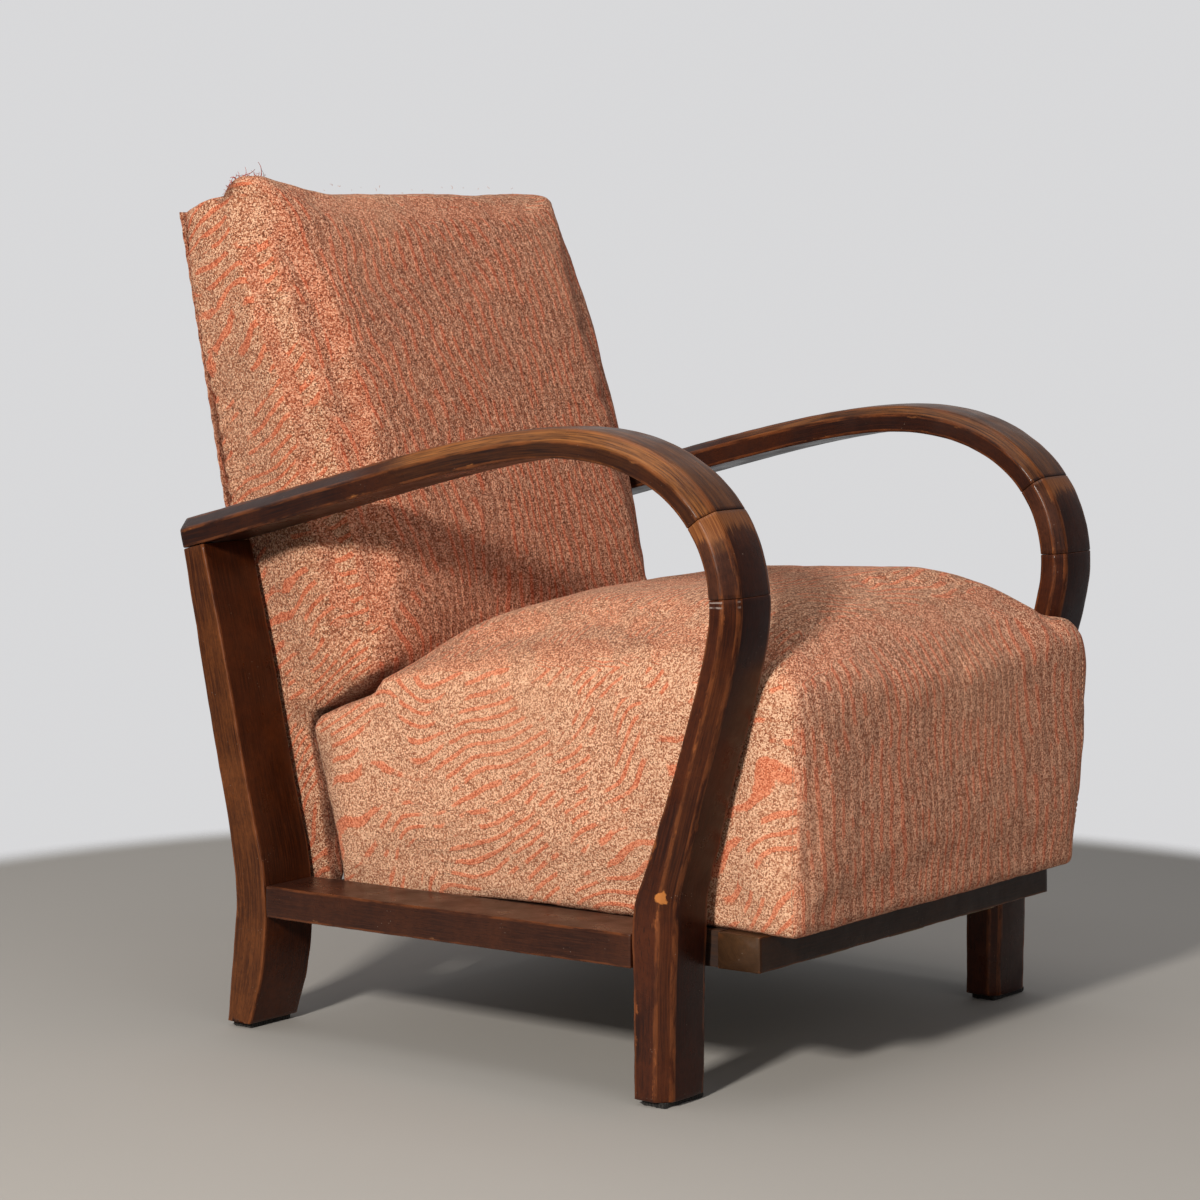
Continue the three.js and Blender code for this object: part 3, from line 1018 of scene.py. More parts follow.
def swept(
    name: str,
    rings: np.ndarray,
    edge: np.ndarray,
    bevel: np.ndarray,
    reach: Pair = (0.0, 1.0),
    dents: float = 0.0006,
    round_ends: float = 0.0008,
) -> Piece:
    """A closed length of wood over rings of points, worn at its corners.

    Args:
        name: Name of the piece.
        rings: Points by ring and around.
        edge: Nearness of each point around to a corner.
        bevel: Whether each point around lies on a bevel.
        reach: Value of attribute "reach" at the first and last ring.
        dents: Depth of dents and rubbed places at the corners.
        round_ends: Rounding of the two ends.

    Returns:
        The piece, with UV map "grain" and its attributes.
    """
    count, around = rings.shape[:2]
    middles = rings.mean(axis=1)
    steps = np.linalg.norm(np.diff(middles, axis=0), axis=1)
    travelled = np.concatenate([[0.0], np.cumsum(steps)])
    first, last = rings[0], rings[-1]
    inward = 1.0 - round_ends / np.linalg.norm(first - middles[0], axis=1).mean()
    ahead = (middles[1] - middles[0]) / steps[0] * round_ends
    behind = (middles[-1] - middles[-2]) / steps[-1] * round_ends
    body = rings.copy()
    body[0] = first + ahead
    body[-1] = last - behind
    caps = [middle + (ring - middle) * inward for middle, ring in ((middles[0], first), (middles[-1], last))]
    capped = np.concatenate([caps[:1], body, caps[1:]])
    along = np.concatenate([[0.0], travelled, [travelled[-1]]])
    points = capped.reshape(-1, 3)
    edges = np.tile(edge, count + 2)
    rubbed = np.clip(bump_field(points, 0.018, 3.0) + 0.25, 0, 1) * edges
    rubbed += 0.35 * np.clip(bump_field(points, 0.006, 9.0) - 0.3, 0, 1)
    centres = np.repeat(np.concatenate([[middles[0]], middles, [middles[-1]]]), around, axis=0)
    inwards = centres - points
    inwards /= np.linalg.norm(inwards, axis=1)[:, None]
    points = points + inwards * (rubbed * dents)[:, None]
    piece = facing_out(mesh_object(name, points, ring_faces(count + 2, around)), FINE_MERGE)
    strides = np.diff(np.vstack([first, first[:1]]), axis=0)
    perimeter = np.concatenate([[0.0], np.cumsum(np.linalg.norm(strides, axis=1))])
    uv = piece.data.uv_layers.new(name="grain")
    for polygon in piece.data.polygons:
        columns = [v % around for v in polygon.vertices]
        wraps = around - 1 in columns and 0 in columns and len(columns) == 4
        for loop, vertex, column in zip(polygon.loop_indices, polygon.vertices, columns):
            v = perimeter[around] if wraps and column == 0 else perimeter[column]
            uv.data[loop].uv = (along[vertex // around], v)
    store(piece, "edge", edges)
    store(piece, "bevel", np.tile(bevel, count + 2))
    store(piece, "reach", np.repeat(reach[0] + (reach[1] - reach[0]) * along / along[-1], around))
    return piece


# ---------------------------------------------------------------- wooden frame


@dataclass
class Stretch:
    """One stretch of the arm's line in the side view, with the wood's thickness at its ends."""

    curve: Outline
    start: float
    end: float
    thick: Pair


@dataclass
class SideFrame:
    """One side of the chair: arm, bend, front leg, rear leg, rail and foot pads."""

    side: Side
    finishes: Finishes
    half_width: float = 0.320
    width: float = 0.070
    outer_bevel: Pair = (0.0125, 0.0115)
    inner_bevel: Pair = (0.009, 0.009)
    arm_end: Pair = (0.3197, 0.4959)
    arm_top: Pair = (-0.170, 0.604)
    arm_front: Pair = (-0.3533, 0.4587)
    leg_slant: Pair = (-0.3176, 0.3158)
    knee_top: Pair = (-0.290, 0.228)
    knee_low: Pair = (-0.275, 0.160)
    shin: Pair = (-0.275, 0.108)
    foot: Pair = (-0.275, 0.0053)
    upper_joint: float = 0.64
    lower_joint: float = 0.95
    gap: float = 0.0003
    step: float = 0.004
    crown_middle: float = 0.287
    crown_reach: float = 0.024
    crown_height: float = 0.0009
    rear_leg_back: Outline = (
        (0.316, 0.4806),
        (0.295, 0.380),
        (0.274, 0.281),
        (0.2585, 0.215),
        (0.2503, 0.164),
        (0.2476, 0.132),
        (0.250, 0.100),
        (0.262, 0.0),
    )
    rear_leg_front: Outline = (
        (0.2885, 0.4874),
        (0.2615, 0.383),
        (0.239, 0.284),
        (0.2232, 0.219),
        (0.2107, 0.169),
        (0.2074, 0.108),
        (0.215, 0.052),
        (0.232, 0.0),
    )

    def lines(self) -> dict[str, list[Stretch]]:
        """The stretches of each bent piece.

        Returns:
            The stretches from rear to front, by the piece's name.
        """
        rise = (self.arm_end, (0.1035, 0.5499), (-0.0666, 0.604), self.arm_top)
        bend = (self.arm_top, (-0.2809, 0.604), (-0.3533, 0.548), self.arm_front)
        swell = (self.arm_front, (-0.3533, 0.4249), (-0.3298, 0.3572), self.leg_slant)
        knee = (self.knee_top, (-0.2825, 0.204), (-0.275, 0.190), self.knee_low)
        shave = self.gap / 0.25
        return {
            "upper_arm": [
                Stretch(rise, 0, 1, (0.030, 0.0275)),
                Stretch(bend, 0, self.upper_joint - shave, (0.0275, 0.0265)),
            ],
            "arm_bend": [Stretch(bend, self.upper_joint, self.lower_joint - shave, (0.0265, 0.026))],
            "front_leg": [
                Stretch(bend, self.lower_joint, 1, (0.026, 0.026)),
                Stretch(swell, 0, 1, (0.026, 0.0265)),
                Stretch(self._straight(self.leg_slant, self.knee_top), 0, 1, (0.0265, 0.032)),
                Stretch(knee, 0, 1, (0.032, 0.0415)),
                Stretch(self._straight(self.knee_low, self.shin), 0, 1, (0.0415, 0.0375)),
                Stretch(self._straight(self.shin, self.foot), 0, 1, (0.0375, 0.0355)),
            ],
        }

    @staticmethod
    def _straight(start: Pair, end: Pair) -> Outline:
        """A straight stretch as a cubic curve."""
        a, b = np.array(start), np.array(end)
        return (start, tuple(a + (b - a) / 3), tuple(a + (b - a) * 2 / 3), end)

    def _section(self, thickness: float) -> Section:
        """The arm's section: x across the chair and n out of the curve.

        Args:
            thickness: Thickness of the wood.

        Returns:
            The section.
        """
        low, high = -thickness / 2, thickness / 2
        inner, outer = self.half_width - self.width, self.half_width
        corners = [
            (inner, low),
            (outer, low),
            (outer, high - self.outer_bevel[1]),
            (outer - self.outer_bevel[0], high),
            (inner + self.inner_bevel[0], high),
            (inner, high - self.inner_bevel[1]),
        ]
        radii = [0.0025, 0.0022, 0.0018, 0.003, 0.003, 0.0018]
        return Section(corners, radii, bevels=(2, 4), counts=(16, 4, 4, 11, 3, 4))

    def bent_piece(self, name: str) -> Piece:
        """One of the arm, bend and front leg.

        Args:
            name: Name of the piece, without its side.

        Returns:
            The piece.
        """
        rings = []
        for order, stretch in enumerate(self.lines()[name]):
            dense = bezier(stretch.curve, np.linspace(stretch.start, stretch.end, 50))
            length = np.linalg.norm(np.diff(dense, axis=0), axis=1).sum()
            steps = max(1, round(length / self.step))
            t = np.linspace(stretch.start, stretch.end, steps + 1)
            here = bezier(stretch.curve, t)
            tangent = bezier(stretch.curve, t + 1e-4) - bezier(stretch.curve, t - 1e-4)
            tangent /= np.linalg.norm(tangent, axis=1)[:, None]
            for i in range(0 if order == 0 else 1, steps + 1):
                share = i / steps
                eased = share * share * (3 - 2 * share)
                thick_from, thick_to = stretch.thick
                outline, edge, bevel = self._section(thick_from + (thick_to - thick_from) * eased).points()
                across = (outline[:, 0] - self.crown_middle) / self.crown_reach
                crown = self.crown_height * np.clip(1 - across**2, 0, 1) * (outline[:, 1] > 0)
                n = outline[:, 1] + crown
                y = here[i, 0] + tangent[i, 1] * n
                z = here[i, 1] - tangent[i, 0] * n
                rings.append(np.column_stack([outline[:, 0] * self.side.value, y, z]))
        rings = np.array(rings)
        if name == "front_leg":
            rings[..., 2] = np.maximum(rings[..., 2], self.foot[1])
        node = f"{self.side.prefix}_{name}"
        piece = swept(f"{node}_worn", rings, edge, bevel)
        finishes = self.finishes
        finish = {"upper_arm": finishes.arm, "arm_bend": finishes.bend, "front_leg": finishes.front_leg}[name]
        return dress(piece, finish, "stained_wood", node)

    def rear_leg(self) -> Piece:
        """The sabre-shaped rear leg.

        Returns:
            The piece.
        """
        rear, front = (spline_through(line, 120) for line in (self.rear_leg_back, self.rear_leg_front))
        inner, outer = self.half_width - self.width, self.half_width
        rings = []
        for behind, ahead in zip(rear, front):
            depth = np.linalg.norm(behind - ahead)
            corners = [(inner, 0.0), (outer, 0.0), (outer, depth), (inner, depth)]
            outline, edge, bevel = Section(corners, [0.0022] * 4, counts=(16, 8, 16, 8)).points()
            way = (ahead - behind) / depth
            y = behind[0] + way[0] * outline[:, 1]
            z = np.maximum(behind[1] + way[1] * outline[:, 1], self.foot[1])
            rings.append(np.column_stack([outline[:, 0] * self.side.value, y, z]))
        node = f"{self.side.prefix}_rear_leg"
        piece = swept(f"{node}_worn", np.array(rings), edge, bevel)
        return dress(piece, self.finishes.rear_leg, "stained_wood", node)

    def side_rail(self) -> Piece:
        """The outer rail between the legs, which falls gently to the rear.

        Returns:
            The piece.
        """
        inner, outer = self.half_width - self.width, self.half_width
        low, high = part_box(f"{self.side.prefix}_side_rail")
        height, front_low, rear_low = 0.032, 0.1266, 0.1174
        corners = [(inner, 0.0), (outer, 0.0), (outer, height), (inner, height)]
        outline, edge, bevel = Section(corners, [0.0016] * 4).points()
        rings = []
        for y in np.linspace(low[1], high[1], 116):
            z = front_low + (rear_low - front_low) * (y - low[1]) / (high[1] - low[1])
            x = outline[:, 0] * self.side.value
            rings.append(np.column_stack([x, np.full(len(outline), y), z + outline[:, 1]]))
        node = f"{self.side.prefix}_side_rail"
        piece = swept(f"{node}_worn", np.array(rings), edge, bevel)
        return dress(piece, self.finishes.rail, "stained_wood", node)

    def foot_pad(self, end: str) -> Piece:
        """A ragged felt pad under one foot.

        Args:
            end: Which foot, front or rear.

        Returns:
            The piece.
        """
        node = f"{self.side.prefix}_{end}_foot_pad"
        low, high = (np.array(c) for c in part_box(node))
        corners = [(low[0], low[1]), (high[0], low[1]), (high[0], high[1]), (low[0], high[1])]
        outline, edge, bevel = Section(corners, [0.003] * 4, spacing=0.0015).points()
        outwards = outline - outline.mean(axis=0)
        outwards /= np.linalg.norm(outwards, axis=1)[:, None]
        rings = []
        for k, z in enumerate(np.linspace(0.0, high[2], 5)):
            flat = np.column_stack([outline, np.full(len(outline), z)])
            ragged = bump_field(flat, 0.0035, 5.0 + k * 0.07 + 3 * self.side.value)
            out = outline + outwards * (0.0016 * ragged - 0.0014)[:, None]
            rings.append(np.column_stack([out, np.full(len(out), z)]))
        piece = swept(f"{node}_ragged", np.array(rings), edge, bevel, dents=0.0, round_ends=0.0004)
        return dress(piece, self.finishes.felt, "felt", node)

    def build(self) -> None:
        """Builds the whole side."""
        for name in self.lines():
            self.bent_piece(name)
        self.rear_leg()
        self.side_rail()
        for end in ("front", "rear"):
            self.foot_pad(end)
        for where in ("upper", "lower"):
            for row in ("outer", "inner"):
                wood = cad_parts[f"{self.side.prefix}_{where}_dowel_{row}"]
                wood.material_slots[0].material = self.finishes.plain


# ---------------------------------------------------------------- stuffing


def rounded_block(
    name: str, outline: Outline, side_radii: Numbers, half: float, corner_radii: Numbers
) -> Piece:
    """A closed block from a side-view outline, rolled over towards both sides.

    Args:
        name: Name of the piece.
        outline: Corners in [y, z].
        side_radii: Roll of each corner's surface towards the sides.
        half: Half of the width.
        corner_radii: Rounding of each corner in the side view.

    Returns:
        The block, across X.
    """
    steps = 5
    points = rounded_outline(outline, corner_radii, steps)
    rolls = np.repeat(side_radii, steps + 1)
    ahead = np.roll(points, -1, axis=0) - np.roll(points, 1, axis=0)
    lengths = np.linalg.norm(ahead, axis=1)
    inwards = np.column_stack([-ahead[:, 1], ahead[:, 0]]) / np.maximum(lengths, 1e-9)[:, None]
    area = 0.5 * np.sum(points[:, 0] * np.roll(points[:, 1], -1) - np.roll(points[:, 0], -1) * points[:, 1])
    inwards *= math.copysign(1.0, area)
    rings = []
    turns = np.linspace(0, math.pi / 2, 7)
    for angle in turns[::-1]:
        x = -(half - rolls * (1 - math.sin(angle)))
        rings.append(np.column_stack([x, points + inwards * (rolls * (1 - math.cos(angle)))[:, None]]))
    for share in np.linspace(-1, 1, 11)[1:-1]:
        rings.append(np.column_stack([share * (half - rolls), points]))
    for angle in turns:
        x = half - rolls * (1 - math.sin(angle))
        rings.append(np.column_stack([x, points + inwards * (rolls * (1 - math.cos(angle)))[:, None]]))
    return facing_out(mesh_object(name, np.vstack(rings), ring_faces(len(rings), len(points))))


def apply_modifiers(piece: Piece) -> None:
    """Turns a piece's modifiers into its plain mesh.

    Args:
        piece: The piece.
    """
    graph = bpy.context.evaluated_depsgraph_get()
    mesh = bpy.data.meshes.new_from_object(piece.evaluated_get(graph))
    piece.modifiers.clear()
    old = piece.data
    piece.data = mesh
    bpy.data.meshes.remove(old)


def remesh(piece: Piece, voxel: float) -> None:
    """Gives a piece an even mesh.

    Args:
        piece: The piece.
        voxel: Size of the mesh.
    """
    modifier = piece.modifiers.new("even", "REMESH")
    modifier.mode = "VOXEL"
    modifier.voxel_size = voxel
    modifier.use_smooth_shade = True
    apply_modifiers(piece)


def stuff(
    piece: Piece, keep: Callable[[np.ndarray], np.ndarray], pressure: float = 4.0, cap: float = 0.009
) -> None:
    """Lets cloth swell over its stuffing.

    Args:
        piece: A closed, evenly meshed piece.
        keep: From points, how much each may move, from 0 to 1.
        pressure: Pressure of the stuffing.
        cap: Most that a point may move, in metres.
    """
    before = places(piece)
    cloth = piece.modifiers.new("stuffing", "CLOTH")
    cloth.settings.use_pressure = True
    cloth.settings.uniform_pressure_force = pressure
    cloth.settings.tension_stiffness = 15.0
    cloth.settings.compression_stiffness = 15.0
    cloth.settings.bending_stiffness = 0.5
    cloth.settings.quality = 5
    cloth.settings.effector_weights.gravity = 0.0
    cloth.collision_settings.use_collision = False
    scene = bpy.context.scene
    for number in range(1, 17):
        scene.frame_set(number)
    apply_modifiers(piece)
    scene.frame_set(1)
    moved = places(piece) - before
    length = np.linalg.norm(moved, axis=1)
    scale = np.minimum(1.0, cap / np.maximum(length, 1e-9)) * keep(before)
    place_all(piece, before + moved * scale[:, None])


def subdivide(piece: Piece) -> None:
    """One smooth subdivision, applied.

    Args:
        piece: The piece.
    """
    modifier = piece.modifiers.new("smooth", "SUBSURF")
    modifier.levels = 1
    modifier.render_levels = 1
    apply_modifiers(piece)


def carve(piece: Piece, low: Numbers, high: Numbers, turn: Matrix) -> None:
    """Cuts a box-shaped hollow out of a piece.

    Args:
        piece: The piece.
        low: Lowest corner of the hollow.
        high: Highest corner.
        turn: From the hollow's axes to the piece's.
    """
    work = bmesh.new()
    bmesh.ops.create_cube(work, size=1.0)
    size, middle = np.subtract(high, low), np.add(high, low) / 2
    box = Matrix.Translation(middle) @ Matrix.Diagonal((*size, 1.0))
    bmesh.ops.transform(work, matrix=turn @ box, verts=work.verts)
    mesh = bpy.data.meshes.new("hollow")
    work.to_mesh(mesh)
    work.free()
    tool = bpy.data.objects.new("hollow", mesh)
    bpy.context.collection.objects.link(tool)
    modifier = piece.modifiers.new("hollow", "BOOLEAN")
    modifier.operation = "DIFFERENCE"
    modifier.solver = "EXACT"
    modifier.object = tool
    apply_modifiers(piece)
    bpy.data.objects.remove(tool)
    bpy.data.meshes.remove(mesh)


def seat_turn() -> Matrix:
    """From the seat box's own axes to the chair's."""
    return Matrix.Translation((0, *SEAT_ORIGIN)) @ Matrix.Rotation(-SEAT_SLOPE, 4, "X")


def normals_of(piece: Piece) -> np.ndarray:
    """Normals at all points of a piece.

    Args:
        piece: The piece.

    Returns:
        The normals, one in each row.
    """
    flat = np.empty(len(piece.data.vertices) * 3)
    piece.data.vertices.foreach_get("normal", flat)
    return flat.reshape(-1, 3)


def on_surface(piece: Piece, path: np.ndarray, above: float) -> np.ndarray:
    """The points of a piece's surface nearest to a path, raised a little above it.

    Args:
        piece: The piece.
        path: Points of the path.
        above: Height above the surface.

    Returns:
        The moved points.
    """
    found = []
    for point in path:
        _, place, normal, _ = piece.closest_point_on_mesh(Vector(point))
        found.append(place + normal * above)
    return np.array(found)


def groove(points: np.ndarray, path: np.ndarray, width: float) -> np.ndarray:
    """How near points are to a path: 1 on it, 0 from the given width away.

    Args:
        points: The points.
        path: Points of the path.
        width: Half width of the groove.

    Returns:
        The nearness of each point.
    """
    nearest = np.full(len(points), 1e9)
    for a, b in zip(path[:-1], path[1:]):
        along = b - a
        share = np.clip((points - a) @ along / (along @ along), 0, 1)
        nearest = np.minimum(nearest, np.linalg.norm(points - a - share[:, None] * along, axis=1))
    return np.exp(-((nearest / width) ** 2))


@dataclass
class SeatCushion:
    """The sprung, stuffed seat: a deep box with a crowned top that overhangs the front rail."""

    finishes: Finishes
    half: float = 0.2475
    voxel: float = 0.0065
    crown: float = 0.042
    outline: Outline = (
        (0.172, 0.1525),
        (0.212, 0.308),
        (0.127, 0.345),
        (0.122, 0.360),
        (0.060, 0.381),
        (-0.060, 0.400),
        (-0.200, 0.411),
        (-0.318, 0.414),
        (-0.389, 0.398),
        (-0.391, 0.250),
        (-0.3880, 0.1580),
    )
    rolls: Numbers = (0.005, 0.009, 0.008, 0.014, 0.024, 0.028, 0.028, 0.026, 0.012, 0.008, 0.004)
    rounding: Numbers = (0.005, 0.014, 0.004, 0.006, 0.02, 0.03, 0.03, 0.03, 0.034, 0.03, 0.003)

    def build(self) -> Piece:
        """Returns:
            The cushion.
        """
        piece = rounded_block("seat_cushion", self.outline, self.rolls, self.half, self.rounding)
        remesh(piece, self.voxel)
        points = places(piece)
        x, y, z = points.T
        across = np.clip(np.abs(x) / self.half, 0, 1)
        upper = ease(z, 0.345, 0.40) * ease(y, 0.135, 0.09)
        forward = 1.0 - 0.5 * ease(y, -0.33, -0.395)
        z = z + upper * forward * (self.crown * (1 - across**4.0) + 0.007 * x / self.half)
        outwards = np.sign(x)
        bulge = 0.0045 * ease(z, 0.16, 0.24) * ease(z, 0.44, 0.36) * outwards * ease(np.abs(x), 0.22, 0.245)
        waist = ease(np.abs(y + 0.31), 0.05, 0.0) * 0.004 * outwards * ease(np.abs(x), 0.23, 0.245)
        overhang = ease(y, -0.348, -0.374)
        flare = outwards * ease(np.abs(x), 0.20, 0.245) * overhang * (0.003 + 0.006 * ease(z, 0.16, 0.38))
        lean = overhang * (0.003 + 0.009 * ease(z, 0.16, 0.36))
        x = x + bulge - waist + flare + lean
        place_all(piece, np.column_stack([x, y, z]))
        stuff(piece, lambda p: 0.35 + 0.65 * ease(p[:, 2], 0.36, 0.42) * ease(p[:, 2], 0.15, 0.18))
        subdivide(piece)
        self._wrinkle(piece)
        carve(piece, (-0.212, 0.034, -0.02), (0.212, 0.462, 0.1533), seat_turn())
        self._settle(piece)
        points = places(piece)
        y, z = points[:, 1], points[:, 2]
        # Darker towards the bottom, with random blotches; painted shade in the seam where the rear meets the
        # back.
        dirt = ease(z, 0.175, 0.156) * 0.4 + ease(y, 0.15, 0.20) * ease(z, 0.33, 0.3) * 0.6
        # Painted shade on low faces turned to the rear, in the gap to the back.
        painted_shade = ease(normals_of(piece)[:, 1], 0.35, 0.75) * ease(z, 0.345, 0.32)
        store(piece, "dirt", np.clip(dirt * (0.6 + 0.6 * bump_field(points, 0.05, 2.0)) + painted_shade, 0, 1))
        dress(piece, self.finishes.cover, "cover", "seat_upholstery")
        return piece

    def _settle(self, piece: Piece) -> None:
        """Lets the underside down on the rails and fills the rear out behind the side seams.

        Args:
            piece: The cushion.
        """
        points = places(piece)
        x, y, z = points.T
        rails = 0.1576 - SEAT_SLOPE * (y - SEAT_ORIGIN[0])
        z = z - 0.0038 * ease(z - rails, 0.03, 0.004) * ease(z - rails, -0.01, 0.0)
        z = z - 0.009 * ease(z, 0.185, 0.155) * ease(y, -0.10, 0.16) * ease(np.abs(x), 0.215, 0.222)
        y = y + 0.006 * ease(np.abs(x), 0.242, 0.228) * ease(y, 0.10, 0.16) * ease(z, 0.31, 0.28)
        place_all(piece, np.column_stack([x, y, z]))

    def seam_path(self, side: Side) -> np.ndarray:
        """The sewn upright line at a front corner of the seat.

        Args:
            side: Side of the chair.

        Returns:
            Points of the line, upwards.
        """
        x = side.value * (self.half + 0.002)
        z = np.linspace(0.165, 0.385, 12)
        return np.column_stack([np.full(12, x), np.full(12, -0.3835), z])

    def _wrinkle(self, piece: Piece) -> None:
        """Presses seams, creases and hollows of use into the cover.

        Args:
            piece: The cushion.
        """
        points, normals = places(piece), normals_of(piece)
        move = np.zeros(len(points))
        for side in Side:
            move -= 0.0022 * groove(points, self.seam_path(side), 0.0035)
            x = np.full(9, side.value * (self.half + 0.004))
            curve = np.linspace(0, 1, 9)
            fold = np.column_stack([x, np.linspace(-0.26, 0.10, 9), 0.372 - 0.06 * curve**2])
            move -= 0.0016 * groove(points, fold, 0.004)
            low_fold = np.column_stack([x, 0.13 - 0.10 * curve, 0.285 + 0.035 * curve**1.5])
            move -= 0.0013 * groove(points, low_fold, 0.003)
        rest = ease(np.abs(points[:, 0]), 0.24, 0.1) * ease(points[:, 2], 0.42, 0.44)
        move += 0.0018 * bump_field(points, 0.09, 4.0) * (0.4 + rest)
        move += 0.0007 * bump_field(points, 0.022, 7.0)
        place_all(piece, points + normals * move[:, None])


@dataclass
class BackCushion:
    """The raked, stuffed back, torn open at its top corner on the sitter's right."""

    finishes: Finishes
    half: float = 0.2435
    voxel: float = 0.0065
    rake: float = 0.1998
    foot: Pair = (0.2596, 0.155)
    height: float = 0.677
    outline: Outline = (
        (-0.003, -0.005),
        (-0.001, 0.680),
        (-0.050, 0.686),
        (-0.104, 0.688),
        (-0.121, 0.637),
        (-0.142, 0.560),
        (-0.162, 0.455),
        (-0.171, 0.332),
        (-0.171, 0.236),
        (-0.161, 0.165),
        (-0.066, 0.143),
        (-0.071, -0.019),
    )
    front_line: Outline = (
        (0.17, -0.165),
        (0.24, -0.173),
        (0.33, -0.173),
        (0.455, -0.164),
        (0.56, -0.144),
        (0.637, -0.123),
        (0.69, -0.108),
    )  # height and depth of the swollen front, for its softened ridge
    rolls: Numbers = (0.004, 0.004, 0.004, 0.007, 0.011, 0.013, 0.013, 0.013, 0.013, 0.012, 0.006, 0.006)
    rounding: Numbers = (0.003, 0.005, 0.02, 0.016, 0.03, 0.03, 0.04, 0.04, 0.03, 0.016, 0.012, 0.004)

    @property
    def turn(self) -> Matrix:
        """From the back's own axes to the chair's."""
        return Matrix.Translation((0, self.foot[0], self.foot[1])) @ Matrix.Rotation(-self.rake, 4, "X")

    def to_chair(self, points: np.ndarray) -> np.ndarray:
        """Points in the back's own axes, in the chair's."""
        matrix = np.array(self.turn)
        return points @ matrix[:3, :3].T + matrix[:3, 3]

    def build(self) -> Piece:
        """Returns:
            The cushion.
        """
        piece = rounded_block("back_cushion", self.outline, self.rolls, self.half, self.rounding)
        remesh(piece, self.voxel)
        stuff(piece, lambda p: 0.3 + 0.7 * ease(p[:, 1], -0.05, -0.10) * ease(p[:, 2], 0.1, 0.2))
        subdivide(piece)
        self._shape(piece)
        carve(piece, (-0.226, -0.0343, 0.0057), (0.226, 0.02, 0.6673), Matrix.Identity(4))
        points = places(piece)
        y, z = points[:, 1], points[:, 2]
        # Darker towards the bottom, and painted shade along the line where the back sinks into the seat.
        sinking = np.array([(-0.16, 0.17), (-0.06, 0.15)])
        dirt = ease(z, 0.12, 0.0) * 0.5 + groove(points[:, 1:], sinking, 0.012) * 0.6
        # Painted shade on low faces turned forwards and on faces turned down.
        _, facing_y, facing_z = normals_of(piece).T
        painted_shade = np.maximum(ease(facing_y, -0.35, -0.75) * ease(z, 0.15, 0.13), ease(facing_z, -0.25, -0.6))
        dirt = dirt + painted_shade * ease(y, -0.04, -0.055)
        # Darker around the torn corner.
        torn = ease(np.linalg.norm(points - np.array([-0.240, -0.064, 0.692]), axis=1), 0.024, 0.008)
        store(piece, "dirt", np.clip(dirt * (0.7 + 0.5 * bump_field(points, 0.05, 2.0)) + torn * 0.8, 0, 1))
        place_all(piece, self.to_chair(points))
        dress(piece, self.finishes.back_cover, "cover", "back_upholstery")
        return piece

    def _shape(self, piece: Piece) -> None:
        """Raises the torn hump, notches its edge, and pulls the rear edge in at each tack.

        Args:
            piece: The cushion, in the back's own axes.
        """
        points, normals = places(piece), normals_of(piece)
        x, y, z = points.T
        top = ease(z, 0.60, 0.675)
        hump = np.exp(-(((x + 0.222) / 0.062) ** 2)) * ease(y, -0.056, -0.086)
        notch = np.exp(-(((x + 0.243) / 0.016) ** 2) - ((y + 0.058) / 0.008) ** 2)
        sag = np.exp(-(((x + 0.09) / 0.05) ** 2)) * 0.003
        lift = top * (0.016 * hump - 0.007 * notch - sag)
        lift += top * 0.0022 * bump_field(points, 0.03, 11.0) * ease(x, -0.1, -0.2)
        pull = ease(y, -0.03, -0.006) * ease(np.abs(x), 0.20, 0.238) * ease(z, 0.62, 0.5)
        scallop = pull * (0.5 + 0.5 * np.cos(2 * math.pi * z / TACK_PITCH)) ** 3
        lumps, pimples = bump_field(points, 0.10, 6.0), bump_field(points, 0.02, 8.0)
        move = 0.0016 * lumps + 0.0006 * pimples - 0.0028 * scallop
        drawn_in = np.exp(-(((z - 0.20) / 0.06) ** 2))
        waist = 0.004 * drawn_in * ease(np.abs(x), 0.2, 0.24) * ease(y, -0.05, -0.12)
        points = points + normals * (move - waist)[:, None]
        points[:, 2] += lift
        points[:, 2] -= 0.013 * ease(z, 0.03, 0.0) * ease(np.abs(x), 0.222, 0.230)
        front = np.interp(z, *zip(*self.front_line))
        ridge = np.exp(-(((np.abs(x) - self.half) ** 2 + (y - front) ** 2) / 0.05**2))
        soft = ridge * np.where(x < 0, 0.0125, 0.002)
        shoulder = ease(z, 0.47, 0.53) * ease(z, 0.67, 0.60)
        points[:, 0] += np.sign(x) * 0.006 * ease(np.abs(x), 0.19, 0.24) * shoulder
        points[:, 0] -= np.sign(x) * soft * 0.75
        points[:, 1] += soft * 0.66
        place_all(piece, points)

    def rear_edge(self, side: Side) -> np.ndarray:
        """The line of tacks down one edge of the rear.

        Args:
            side: Side of the chair.

        Returns:
            Points of the line, upwards.
        """
        z = np.linspace(0.02, self.height - 0.03, 40)
        flat = np.column_stack([np.full(40, side.value * (self.half - 0.0115)), np.full(40, 0.0022), z])
        return self.to_chair(flat)

